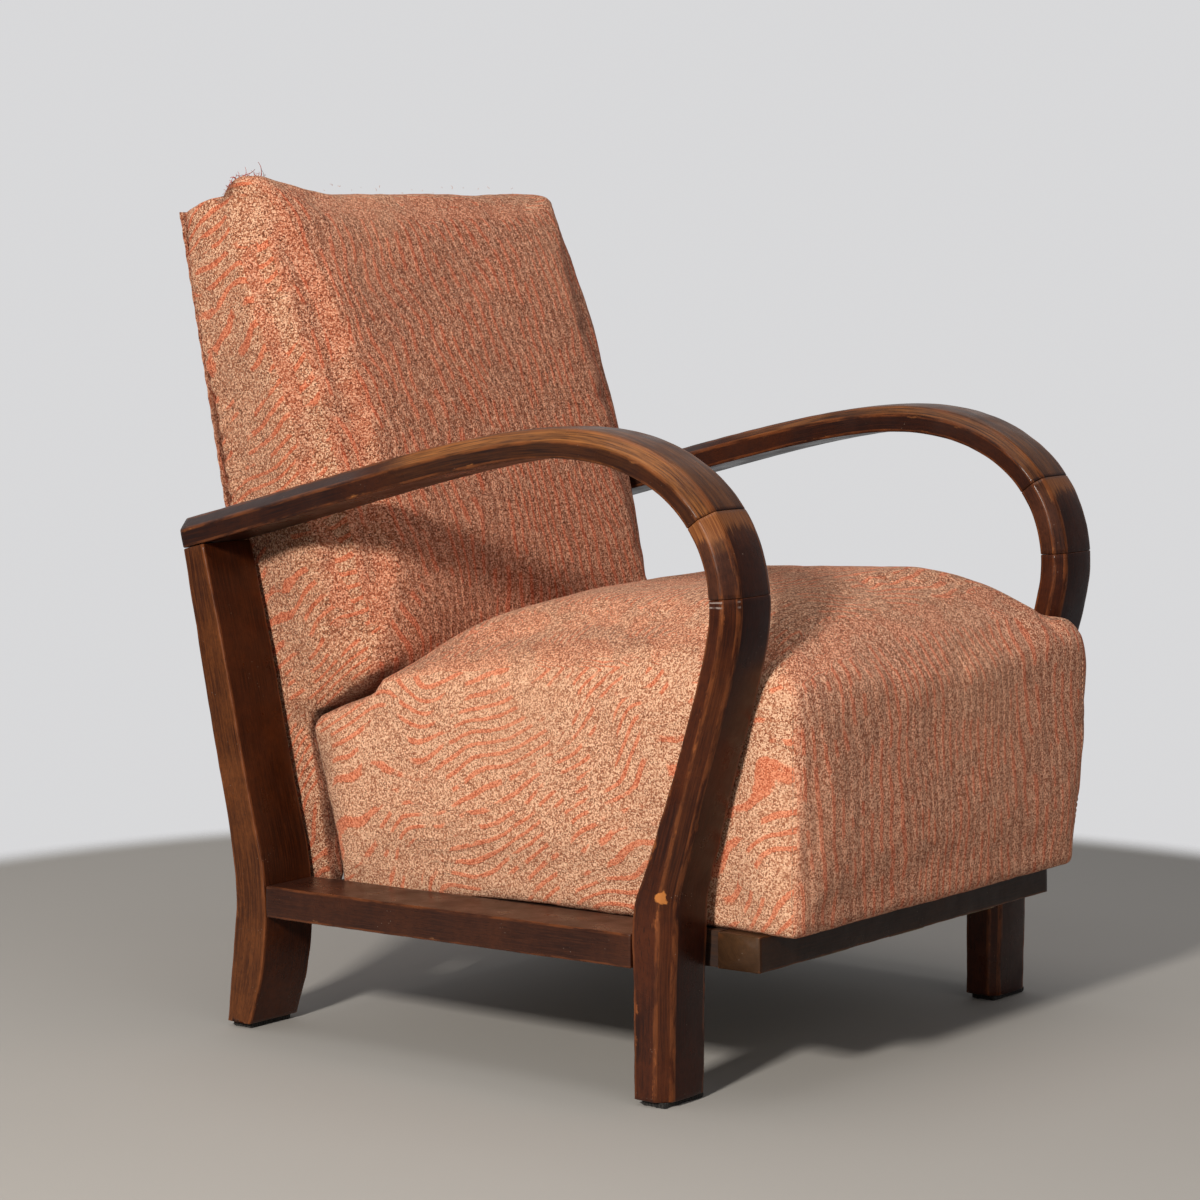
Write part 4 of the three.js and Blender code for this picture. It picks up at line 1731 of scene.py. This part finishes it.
    def outer_back(self) -> Piece:
        """The cloth stretched over the rear of the back.

        Returns:
            The cloth.
        """
        low_x, high_x, low_z, high_z = -0.2400, 0.2400, -0.002, 0.677
        columns, rows = 90, 124
        xs, zs = np.linspace(low_x, high_x, columns), np.linspace(low_z, high_z, rows)
        grid_x, grid_z = np.meshgrid(xs, zs)
        from_side = np.minimum(grid_x - low_x, high_x - grid_x)
        from_end = np.minimum(grid_z - low_z, high_z - grid_z)
        inside = np.clip(np.minimum(from_side, from_end) / 0.05, 0, 1)
        flat = np.column_stack([grid_x.ravel(), np.zeros(grid_x.size), grid_z.ravel()])
        waves = bump_field(flat, 0.12, 13.0).reshape(grid_x.shape)
        puckers = np.exp(-inside * 4) * np.cos(2 * math.pi * grid_z / TACK_PITCH) * 0.0006
        depth = 0.0014 + 0.0008 * waves * inside + puckers
        outer = np.column_stack([grid_x.ravel(), depth.ravel(), grid_z.ravel()])
        inner = outer - np.array([0, 0.0009, 0])
        piece = two_skins("outer_back_cover", self.to_chair(outer), self.to_chair(inner), columns)
        points = places(piece)
        # Darker towards the bottom, with random blotches.
        dirt = 0.45 * ease(points[:, 2], 0.3, 0.15) + 0.25 * bump_field(points, 0.09, 3.0)
        store(piece, "dirt", np.clip(dirt, 0, 1))
        dress(piece, self.finishes.outer_cover, "cover", "outer_back")
        return piece


# ---------------------------------------------------------------- what repeats


class Repeats:
    """Geometry nodes that set copies of a small shape along a path."""

    INPUTS = (
        ("Path", "NodeSocketGeometry"),
        ("Item", "NodeSocketObject"),
        ("Finish", "NodeSocketMaterial"),
        ("Spacing", "NodeSocketFloat"),
        ("Scatter", "NodeSocketFloat"),
        ("Tilt", "NodeSocketFloat"),
        ("Least size", "NodeSocketFloat"),
        ("Most size", "NodeSocketFloat"),
        ("Follow path", "NodeSocketBool"),
        ("Seed", "NodeSocketInt"),
    )

    def __init__(self) -> None:
        """Builds the node tree."""
        self.tree = bpy.data.node_groups.new("copies_along_path", "GeometryNodeTree")
        face = self.tree.interface
        for name, kind in self.INPUTS:
            face.new_socket(name, in_out="INPUT", socket_type=kind)
        face.new_socket("Copies", in_out="OUTPUT", socket_type="NodeSocketGeometry")
        self.sockets = {s.name: s.identifier for s in face.items_tree if s.in_out == "INPUT"}
        inputs = self._node("NodeGroupInput").outputs
        curve = self._node("GeometryNodeMeshToCurve", {0: inputs["Path"]})
        measures = {"Curve": curve.outputs[0], "Length": inputs["Spacing"]}
        spread = self._node("GeometryNodeCurveToPoints", measures, mode="LENGTH")
        shift = {"Geometry": spread.outputs["Points"], "Offset": self._random(inputs, inputs["Scatter"], 0)}
        moved = self._node("GeometryNodeSetPosition", shift)
        euler = self._node("FunctionNodeEulerToRotation", {0: self._random(inputs, inputs["Tilt"], 7)})
        follow = self._node(
            "GeometryNodeSwitch",
            {"Switch": inputs["Follow path"], "True": spread.outputs["Rotation"]},
            input_type="ROTATION",
        )
        turned = self._node(
            "FunctionNodeRotateRotation", {0: follow.outputs[0], 1: euler.outputs[0]}, rotation_space="LOCAL"
        )
        limits = {2: inputs["Least size"], 3: inputs["Most size"], "Seed": inputs["Seed"]}
        size = self._node("FunctionNodeRandomValue", limits, data_type="FLOAT")
        item = self._node("GeometryNodeObjectInfo", {0: inputs["Item"]}, transform_space="ORIGINAL")
        copies = self._node(
            "GeometryNodeInstanceOnPoints",
            {
                "Points": moved.outputs[0],
                "Instance": item.outputs["Geometry"],
                "Rotation": turned.outputs[0],
                "Scale": size.outputs[1],
            },
        )
        real = self._node("GeometryNodeRealizeInstances", {0: copies.outputs[0]})
        coat = {"Geometry": real.outputs[0], "Material": inputs["Finish"]}
        finish = self._node("GeometryNodeSetMaterial", coat)
        self._node("NodeGroupOutput", {0: finish.outputs[0]})

    def _node(self, kind: str, links: dict[int | str, Socket] | None = None, **settings: object) -> Node:
        """Adds a node with the given settings, and links its inputs by number or name.

        Args:
            kind: Type of the node.
            links: Outputs that feed its inputs.
            **settings: Its properties.

        Returns:
            The node.
        """
        node = self.tree.nodes.new(kind)
        for key, value in settings.items():
            setattr(node, key, value)
        for key, source in (links or {}).items():
            self.tree.links.new(source, node.inputs[key])
        return node

    def _random(self, inputs: object, amount: Socket, shift: int) -> Socket:
        """A random vector up to an amount each way.

        Args:
            inputs: Inputs of the tree.
            amount: Most along each axis.
            shift: Added to the seed.

        Returns:
            The vector.
        """
        seed = self._node("ShaderNodeMath", {0: inputs["Seed"]}, operation="ADD")
        seed.inputs[1].default_value = shift
        node = self._node("FunctionNodeRandomValue", {"Seed": seed.outputs[0]}, data_type="FLOAT_VECTOR")
        node.inputs[0].default_value = (-1, -1, -1)
        node.inputs[1].default_value = (1, 1, 1)
        scaled = self._node("ShaderNodeVectorMath", {0: node.outputs[0], "Scale": amount}, operation="SCALE")
        return scaled.outputs[0]

    def along(
        self, name: str, path: np.ndarray, item: Piece, finish: Material, slot: str, **values: object
    ) -> Piece:
        """Sets copies along a path.

        Args:
            name: Name of the new piece.
            path: Points of the path, in the chair's axes.
            item: The shape that is copied.
            finish: Material of the copies.
            slot: Passed on to dress.
            **values: Named inputs, with _ for each blank.

        Returns:
            One plain mesh of all the copies.
        """
        mesh = bpy.data.meshes.new(name)
        edges = [(i, i + 1) for i in range(len(path) - 1)]
        mesh.from_pydata([tuple(p) for p in path], edges, [])
        piece = bpy.data.objects.new(name, mesh)
        bpy.context.collection.objects.link(piece)
        modifier = piece.modifiers.new("copies", "NODES")
        modifier.node_group = self.tree
        settings = {"Item": item, "Finish": finish, "Least size": 0.9, "Most size": 1.1, "Seed": 1}
        settings.update({key.replace("_", " ").capitalize(): value for key, value in values.items()})
        for key, value in settings.items():
            modifier[self.sockets[key]] = value
        apply_modifiers(piece)
        for polygon in piece.data.polygons:
            polygon.use_smooth = True
        return dress(piece, finish, slot)


def tube(name: str, path: np.ndarray, radius: float | np.ndarray, sides: int = 6) -> Piece:
    """A closed tube along a path.

    Args:
        name: Name of the piece.
        path: Points along the middle.
        radius: Radius, or one for each point.
        sides: Number of sides.

    Returns:
        The tube.
    """
    radii = np.broadcast_to(radius, len(path))
    tangents = np.gradient(path, axis=0)
    tangents /= np.linalg.norm(tangents, axis=1)[:, None]
    up = np.array([0.0, 0.0, 1.0]) if abs(tangents[0][2]) < 0.9 else np.array([1.0, 0.0, 0.0])
    side = np.cross(tangents[0], up)
    rings = []
    for here, way, r in zip(path, tangents, radii):
        side = side - way * (side @ way)
        side /= np.linalg.norm(side)
        other = np.cross(way, side)
        turns = np.arange(sides) * 2 * math.pi / sides
        rings.append(here + r * (np.cos(turns)[:, None] * side + np.sin(turns)[:, None] * other))
    return facing_out(mesh_object(name, np.vstack(rings), ring_faces(len(path), sides)), FINE_MERGE)


class Shapes(Enum):
    """Small shapes that are copied along paths."""

    TACK = "tack"
    STITCH = "stitch"
    THREAD = "thread"
    TUFT = "tuft"


def small_shape(kind: Shapes) -> Piece:
    """Makes one of the small shapes around the origin; it is removed after use.

    Args:
        kind: Which shape.

    Returns:
        The shape.
    """
    if kind is Shapes.TACK:
        heights = np.array([-0.0006, 0.0, 0.0006, 0.0011])
        radii = np.array([0.0029, 0.0030, 0.0023, 0.0008])
        return tube("item", np.column_stack([0 * heights, heights, 0 * heights]), radii, 10)
    if kind is Shapes.STITCH:
        z = np.linspace(-0.0022, 0.0022, 5)
        radii = np.array([0.0002, 0.0005, 0.0006, 0.0005, 0.0002])
        return tube("item", np.column_stack([0 * z, 0 * z, z]), radii, 6)
    length, curl = (0.017, 0.9) if kind is Shapes.THREAD else (0.008, 1.6)
    t = np.linspace(0, 1, 8)
    path = np.column_stack([np.sin(t * curl * 2) * length * 0.3, t**2 * length * 0.35, t * length])
    return tube("item", path, THREAD_RADIUS * (1 - 0.5 * t), 5)


@dataclass
class Trimmings:
    """Tacks, stitches and loose threads."""

    finishes: Finishes
    repeats: Repeats
    seat: SeatCushion
    back: BackCushion

    def _set(self, name: str, path: np.ndarray, kind: Shapes, finish: Material, **values: object) -> None:
        """Copies one small shape along a path.

        Args:
            name: Name of the new piece.
            path: Points of the path.
            kind: Shape that is copied.
            finish: Its material.
            **values: Inputs of the copies.
        """
        item = small_shape(kind)
        slot = "steel" if kind is Shapes.TACK else "cover"
        self.repeats.along(name, path, item, finish, slot, **values)
        mesh = item.data
        bpy.data.objects.remove(item)
        bpy.data.meshes.remove(mesh)

    def build(self) -> None:
        """Builds every trimming."""
        finishes = self.finishes
        for side in Side:
            edge = self.back.rear_edge(side)
            self._set(f"{side.prefix}_back_tacks", edge, Shapes.TACK, finishes.steel, spacing=TACK_PITCH)
            seam = on_surface(bpy.data.objects["seat_cushion"], self.seat.seam_path(side), 0.0003)
            stitches = f"{side.prefix}_seat_stitches"
            self._set(stitches, seam, Shapes.STITCH, finishes.pale_thread, spacing=0.0058, follow_path=True)
        self._frayed_corner()
        self._loose_threads()

    def _frayed_corner(self) -> None:
        """Broken threads and fluff along the torn corner and the top edge of the back."""
        t = np.linspace(0, 1, 14)
        rim = np.column_stack([-0.243 + 0.05 * t**2, -0.056 - 0.030 * t, 0.690 + 0.020 * ease(t, 0.1, 0.5)])
        rim = on_surface(bpy.data.objects["back_cushion"], self.back.to_chair(rim), -0.001)
        corner = self.back.to_chair(np.array([(-0.240, -0.004, 0.668), (-0.242, -0.012, 0.672)]))
        edge = self.back.to_chair(np.array([(x, -0.075, 0.687) for x in np.linspace(-0.17, 0.22, 12)]))
        red, dark, pale = self.finishes.thread, self.finishes.dark_thread, self.finishes.pale_thread
        rows = (
            ("torn_corner_red", rim, Shapes.THREAD, red, 0.0042, 0.003, 1.1, 0.3, 0.85, 21),
            ("torn_corner_dark", rim, Shapes.THREAD, dark, 0.022, 0.003, 1.1, 0.3, 0.6, 22),
            ("torn_corner_pale", rim, Shapes.TUFT, red, 0.0034, 0.003, 1.1, 0.3, 0.7, 23),
            ("torn_corner_tuft", rim, Shapes.TUFT, red, 0.0030, 0.003, 1.1, 0.3, 0.9, 24),
            ("rear_corner_threads", corner, Shapes.TUFT, dark, 0.0022, 0.002, 1.4, 0.3, 0.7, 31),
            ("top_edge_fluff", edge, Shapes.TUFT, pale, 0.016, 0.006, 1.5, 0.25, 0.5, 33),
        )
        inputs = ("spacing", "scatter", "tilt", "least_size", "most_size", "seed")
        for name, path, kind, finish, *values in rows:
            self._set(name, path, kind, finish, **dict(zip(inputs, values)))

    def _loose_threads(self) -> None:
        """Threads hanging out where seat and back meet."""
        looks = {"spacing": 0.007, "scatter": 0.0015, "tilt": 0.7, "least_size": 0.6, "most_size": 1.0}
        for side, seed in ((Side.RIGHT, 41), (Side.LEFT, 43)):
            x = side.value * 0.2492
            path = np.array([(x, 0.207, 0.318), (x, 0.211, 0.306), (x, 0.212, 0.294)])
            threads = f"{side.prefix}_seam_threads"
            self._set(threads, path, Shapes.THREAD, self.finishes.pale_thread, **looks, seed=seed)


# ---------------------------------------------------------------- inside and underneath


@dataclass
class SeatBox:
    """The box of rails with its webbing, springs and canvas."""

    finishes: Finishes
    wire: float = 0.0018
    spring_height: float = 0.150
    turns: float = 4.5
    coil_pitch: float = 0.130
    first_row: float = 0.112
    strap_thickness: float = 0.0013
    canvas_thickness: float = 0.0008

    def to_chair(self, points: np.ndarray) -> np.ndarray:
        """Points in the seat box's own axes, in the chair's."""
        matrix = np.array(seat_turn())
        return points @ matrix[:3, :3].T + matrix[:3, 3]

    @staticmethod
    def level(points: np.ndarray, above: float) -> np.ndarray:
        """Heights of a sloping plane, given how far above the box's underside it lies."""
        return SEAT_ORIGIN[1] + above - (points[:, 1] - SEAT_ORIGIN[0]) * math.tan(SEAT_SLOPE)

    def build(self) -> None:
        """Builds what shows from below, and the front rail."""
        self.front_rail()
        for row in range(3):
            y = self.first_row + self.coil_pitch * row
            for column in range(3):
                self.spring(row * 3 + column + 1, self.coil_pitch * (column - 1), y)
        for number in range(3):
            self.strap(f"long_strap_{number + 1}", along_y=True)
            self.strap(f"cross_strap_{number + 1}", along_y=False)
        self.canvas()
        self._dress_hidden_nodes()

    def _dress_hidden_nodes(self) -> None:
        """Gives the CAD pieces that stay as they are their finishes."""
        aged, plain = self.finishes.aged, self.finishes.plain
        finishes = {
            "seat_side_rail": aged,
            "front_corner": aged,
            "rear_corner": plain,
            "back_rail": plain,
            "stile": plain,
            "back_bottom": plain,
            "back_middle": plain,
            "back_top": plain,
            "screw": self.finishes.steel,
            "back_canvas": self.finishes.canvas,
        }
        for name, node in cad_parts.items():
            for word, finish in finishes.items():
                if word in name:
                    node.material_slots[0].material = finish

    def front_rail(self) -> None:
        """The rail across the front, with worn edges."""
        half, deep, height = 0.254, 0.024, 0.034
        corners = [(-deep, 0.0), (deep, 0.0), (deep, height), (-deep, height)]
        outline, edge, bevel = Section(corners, [0.0010] * 4).points()
        stations = np.linspace(-half, half, 128)
        rings = [self.to_chair(np.column_stack([np.full(len(outline), x), outline])) for x in stations]
        piece = swept("front_rail_worn", np.array(rings), edge, bevel)
        dress(piece, self.finishes.front_rail, "stained_wood", "front_rail")

    def spring(self, number: int, x: float, y: float) -> None:
        """One hourglass coil standing on the webbing.

        Args:
            number: Number of the spring.
            x: Its middle across the box.
            y: Its middle along the box.
        """
        t = np.linspace(0, 1, 109)
        angle = 2 * math.pi * self.turns * t
        radius = 0.025 + 0.011 * (2 * t - 1) ** 2
        height = (self.spring_height - 3 * self.wire) * t + 1.5 * self.wire
        path = np.column_stack([x + radius * np.cos(angle), y + radius * np.sin(angle), height])
        piece = tube(f"seat_coil_{number}", self.to_chair(path), self.wire, 8)
        dress(piece, self.finishes.steel, "steel", f"seat_spring_{number}")

    def strap(self, node: str, along_y: bool) -> None:
        """One jute strap, pulled tight under the springs.

        Args:
            node: CAD node of the strap.
            along_y: Whether it runs from front to rear.
        """
        low, high = (np.array(c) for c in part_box(node))
        long_axis, wide_axis = (1, 0) if along_y else (0, 1)
        long_steps, wide_steps = 120, 14
        along, across = np.linspace(0, 1, long_steps), np.linspace(0, 1, wide_steps)
        shares, wides = np.meshgrid(along, across, indexing="ij")
        flat = np.zeros((long_steps * wide_steps, 3))
        length, width = high[long_axis] - low[long_axis], high[wide_axis] - low[wide_axis]
        flat[:, long_axis] = low[long_axis] + shares.ravel() * length
        flat[:, wide_axis] = low[wide_axis] + wides.ravel() * width
        edge = np.abs(wides.ravel() - 0.5) > 0.46
        flat[:, wide_axis] += edge * 0.0006 * bump_field(flat, 0.004, 6.0)
        drop = -0.0010 if along_y else -0.0046
        flat[:, 2] = self.level(flat, drop) + 0.0006 * bump_field(flat, 0.05, 2.0)
        piece = two_skins(f"{node}_woven", flat, flat - [0, 0, self.strap_thickness], wide_steps)
        dress(piece, self.finishes.jute, "jute", node)

    def canvas(self) -> None:
        """The canvas that lies over the springs."""
        low, high = (np.array(c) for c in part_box("seat_canvas"))
        steps = 70
        xs, ys = np.meshgrid(np.linspace(low[0], high[0], steps), np.linspace(low[1], high[1], steps))
        flat = np.column_stack([xs.ravel(), ys.ravel(), np.zeros(xs.size)])
        flat[:, 2] = self.level(flat, self.spring_height + 0.0022) + 0.0004 * bump_field(flat, 0.06, 5.0)
        piece = two_skins("seat_canvas_laid", flat, flat - [0, 0, self.canvas_thickness], steps)
        dress(piece, self.finishes.canvas, "jute", "seat_canvas")


# ---------------------------------------------------------------- stage


@dataclass
class Stage:
    """Plain pale floor, soft light and the camera."""

    eye: Triple = (-2.7453, -2.1273, 0.7861)
    turn: float = 51.85
    dip: float = 6.04
    lens: float = 102.25
    shift: Pair = (-0.0029, 0.00367)
    floor_radius: float = 1.22

    def build(self) -> None:
        """Builds the floor, the lights and the camera."""
        self.floor()
        self.camera()
        self.light("key", (-3.72, -0.95, 2.10), 0.4, 165.0, (1.0, 0.94, 0.86))
        self.light("top", (-0.3, -0.1, 3.1), 2.4, 26.0, (1.0, 0.97, 0.94))
        self.light("fill", (-0.6, -3.3, 1.5), 2.4, 10.0, (1.0, 0.93, 0.88))
        self.surroundings()

    def surroundings(self) -> None:
        """Pale surroundings that light the chair more softly than they look."""
        world = bpy.data.worlds.new("studio")
        bpy.context.scene.world = world
        world.use_nodes = True
        tree = world.node_tree
        way = tree.nodes.new("ShaderNodeTexCoord").outputs["Generated"]
        facing = tree.nodes.new("ShaderNodeVectorMath")
        facing.operation = "DOT_PRODUCT"
        facing.inputs[1].default_value = (0.78, 0.62, 0.1)
        tree.links.new(way, facing.inputs[0])
        fade = tree.nodes.new("ShaderNodeValToRGB")
        stops = ((0.2, (0.15, 0.15, 0.152, 1.0)), (0.8, (0.45, 0.45, 0.455, 1.0)))
        for element, (position, colour) in zip(fade.color_ramp.elements, stops):
            element.position = position
            element.color = colour
        tree.links.new(facing.outputs["Value"], fade.inputs[0])
        seen = tree.nodes.new("ShaderNodeLightPath").outputs["Is Camera Ray"]
        choice = tree.nodes.new("ShaderNodeMix")
        choice.data_type = "RGBA"
        choice.inputs[7].default_value = (0.69, 0.69, 0.70, 1.0)
        tree.links.new(seen, choice.inputs[0])
        tree.links.new(fade.outputs[0], choice.inputs[6])
        tree.links.new(choice.outputs[2], tree.nodes["Background"].inputs["Color"])
        bpy.context.scene.view_settings.view_transform = "Standard"

    def floor(self) -> None:
        """A wide, plain, pale floor."""
        sides = 64
        turns = np.arange(sides) * 2 * math.pi / sides
        rim = np.column_stack([np.cos(turns), np.sin(turns), 0 * turns]) * self.floor_radius
        piece = mesh_object("floor", rim - [0, 0, 0.0002], [tuple(range(sides))], smooth=False)
        g = Graph("floor", 0.85, shine=0.2)
        tone = g.noise(g.place, 1.3, 4.0, 0.6)
        x, y, _ = g.split(g.place)
        away = g.math("SQRT", g.math("ADD", g.times(x, x), g.times(y, y)))
        g.feed(g.shader.inputs["Alpha"], g.step(away, self.floor_radius, self.floor_radius - 0.12))
        colour = g.mix(g.times(tone, 0.25), (0.42, 0.405, 0.385), (0.33, 0.32, 0.30))
        piece.data.materials.append(g.finish(colour))

    def light(self, name: str, place: Triple, size: float, power: float, colour: Colour) -> None:
        """A square soft light that faces the chair.

        Args:
            name: Name of the light.
            place: Its middle.
            size: Its edge.
            power: Its power, in watts.
            colour: Its colour.
        """
        data = bpy.data.lights.new(name, "AREA")
        data.energy, data.size, data.color = power, size, colour
        lamp = bpy.data.objects.new(name, data)
        lamp.location = place
        lamp.rotation_euler = (Vector((0, -0.05, 0.4)) - Vector(place)).to_track_quat("-Z", "Y").to_euler()
        bpy.context.collection.objects.link(lamp)

    def camera(self) -> None:
        """The camera, slightly above the arms and to the sitter's right."""
        data = bpy.data.cameras.new("camera")
        data.lens, data.sensor_width = self.lens, 36.0
        data.shift_x, data.shift_y = self.shift
        camera = bpy.data.objects.new("camera", data)
        turn, dip = math.radians(self.turn), math.radians(self.dip)
        way = Vector((math.sin(turn) * math.cos(dip), math.cos(turn) * math.cos(dip), -math.sin(dip)))
        camera.location = self.eye
        camera.rotation_euler = way.to_track_quat("-Z", "Y").to_euler()
        bpy.context.collection.objects.link(camera)
        bpy.context.scene.camera = camera


def write_sizes() -> None:
    """Only defines a helper that turns corners into lists of numbers; nothing is written."""

    def plain(corners: Sequence[Numbers]) -> list[list[float]]:
        """Corners as lists of numbers."""
        return [[float(value) for value in corner] for corner in corners]


def main() -> None:
    """Builds the chair and its stage."""
    logging.basicConfig(level=logging.INFO, format="%(name)s: %(message)s")
    finishes = Finishes()
    for side in Side:
        SideFrame(side, finishes).build()
    SeatBox(finishes).build()
    seat, back = SeatCushion(finishes), BackCushion(finishes)
    seat.build()
    back.build()
    back.outer_back()
    Trimmings(finishes, Repeats(), seat, back).build()
    Stage().build()
    write_sizes()


if __name__ == "__main__":
    main()
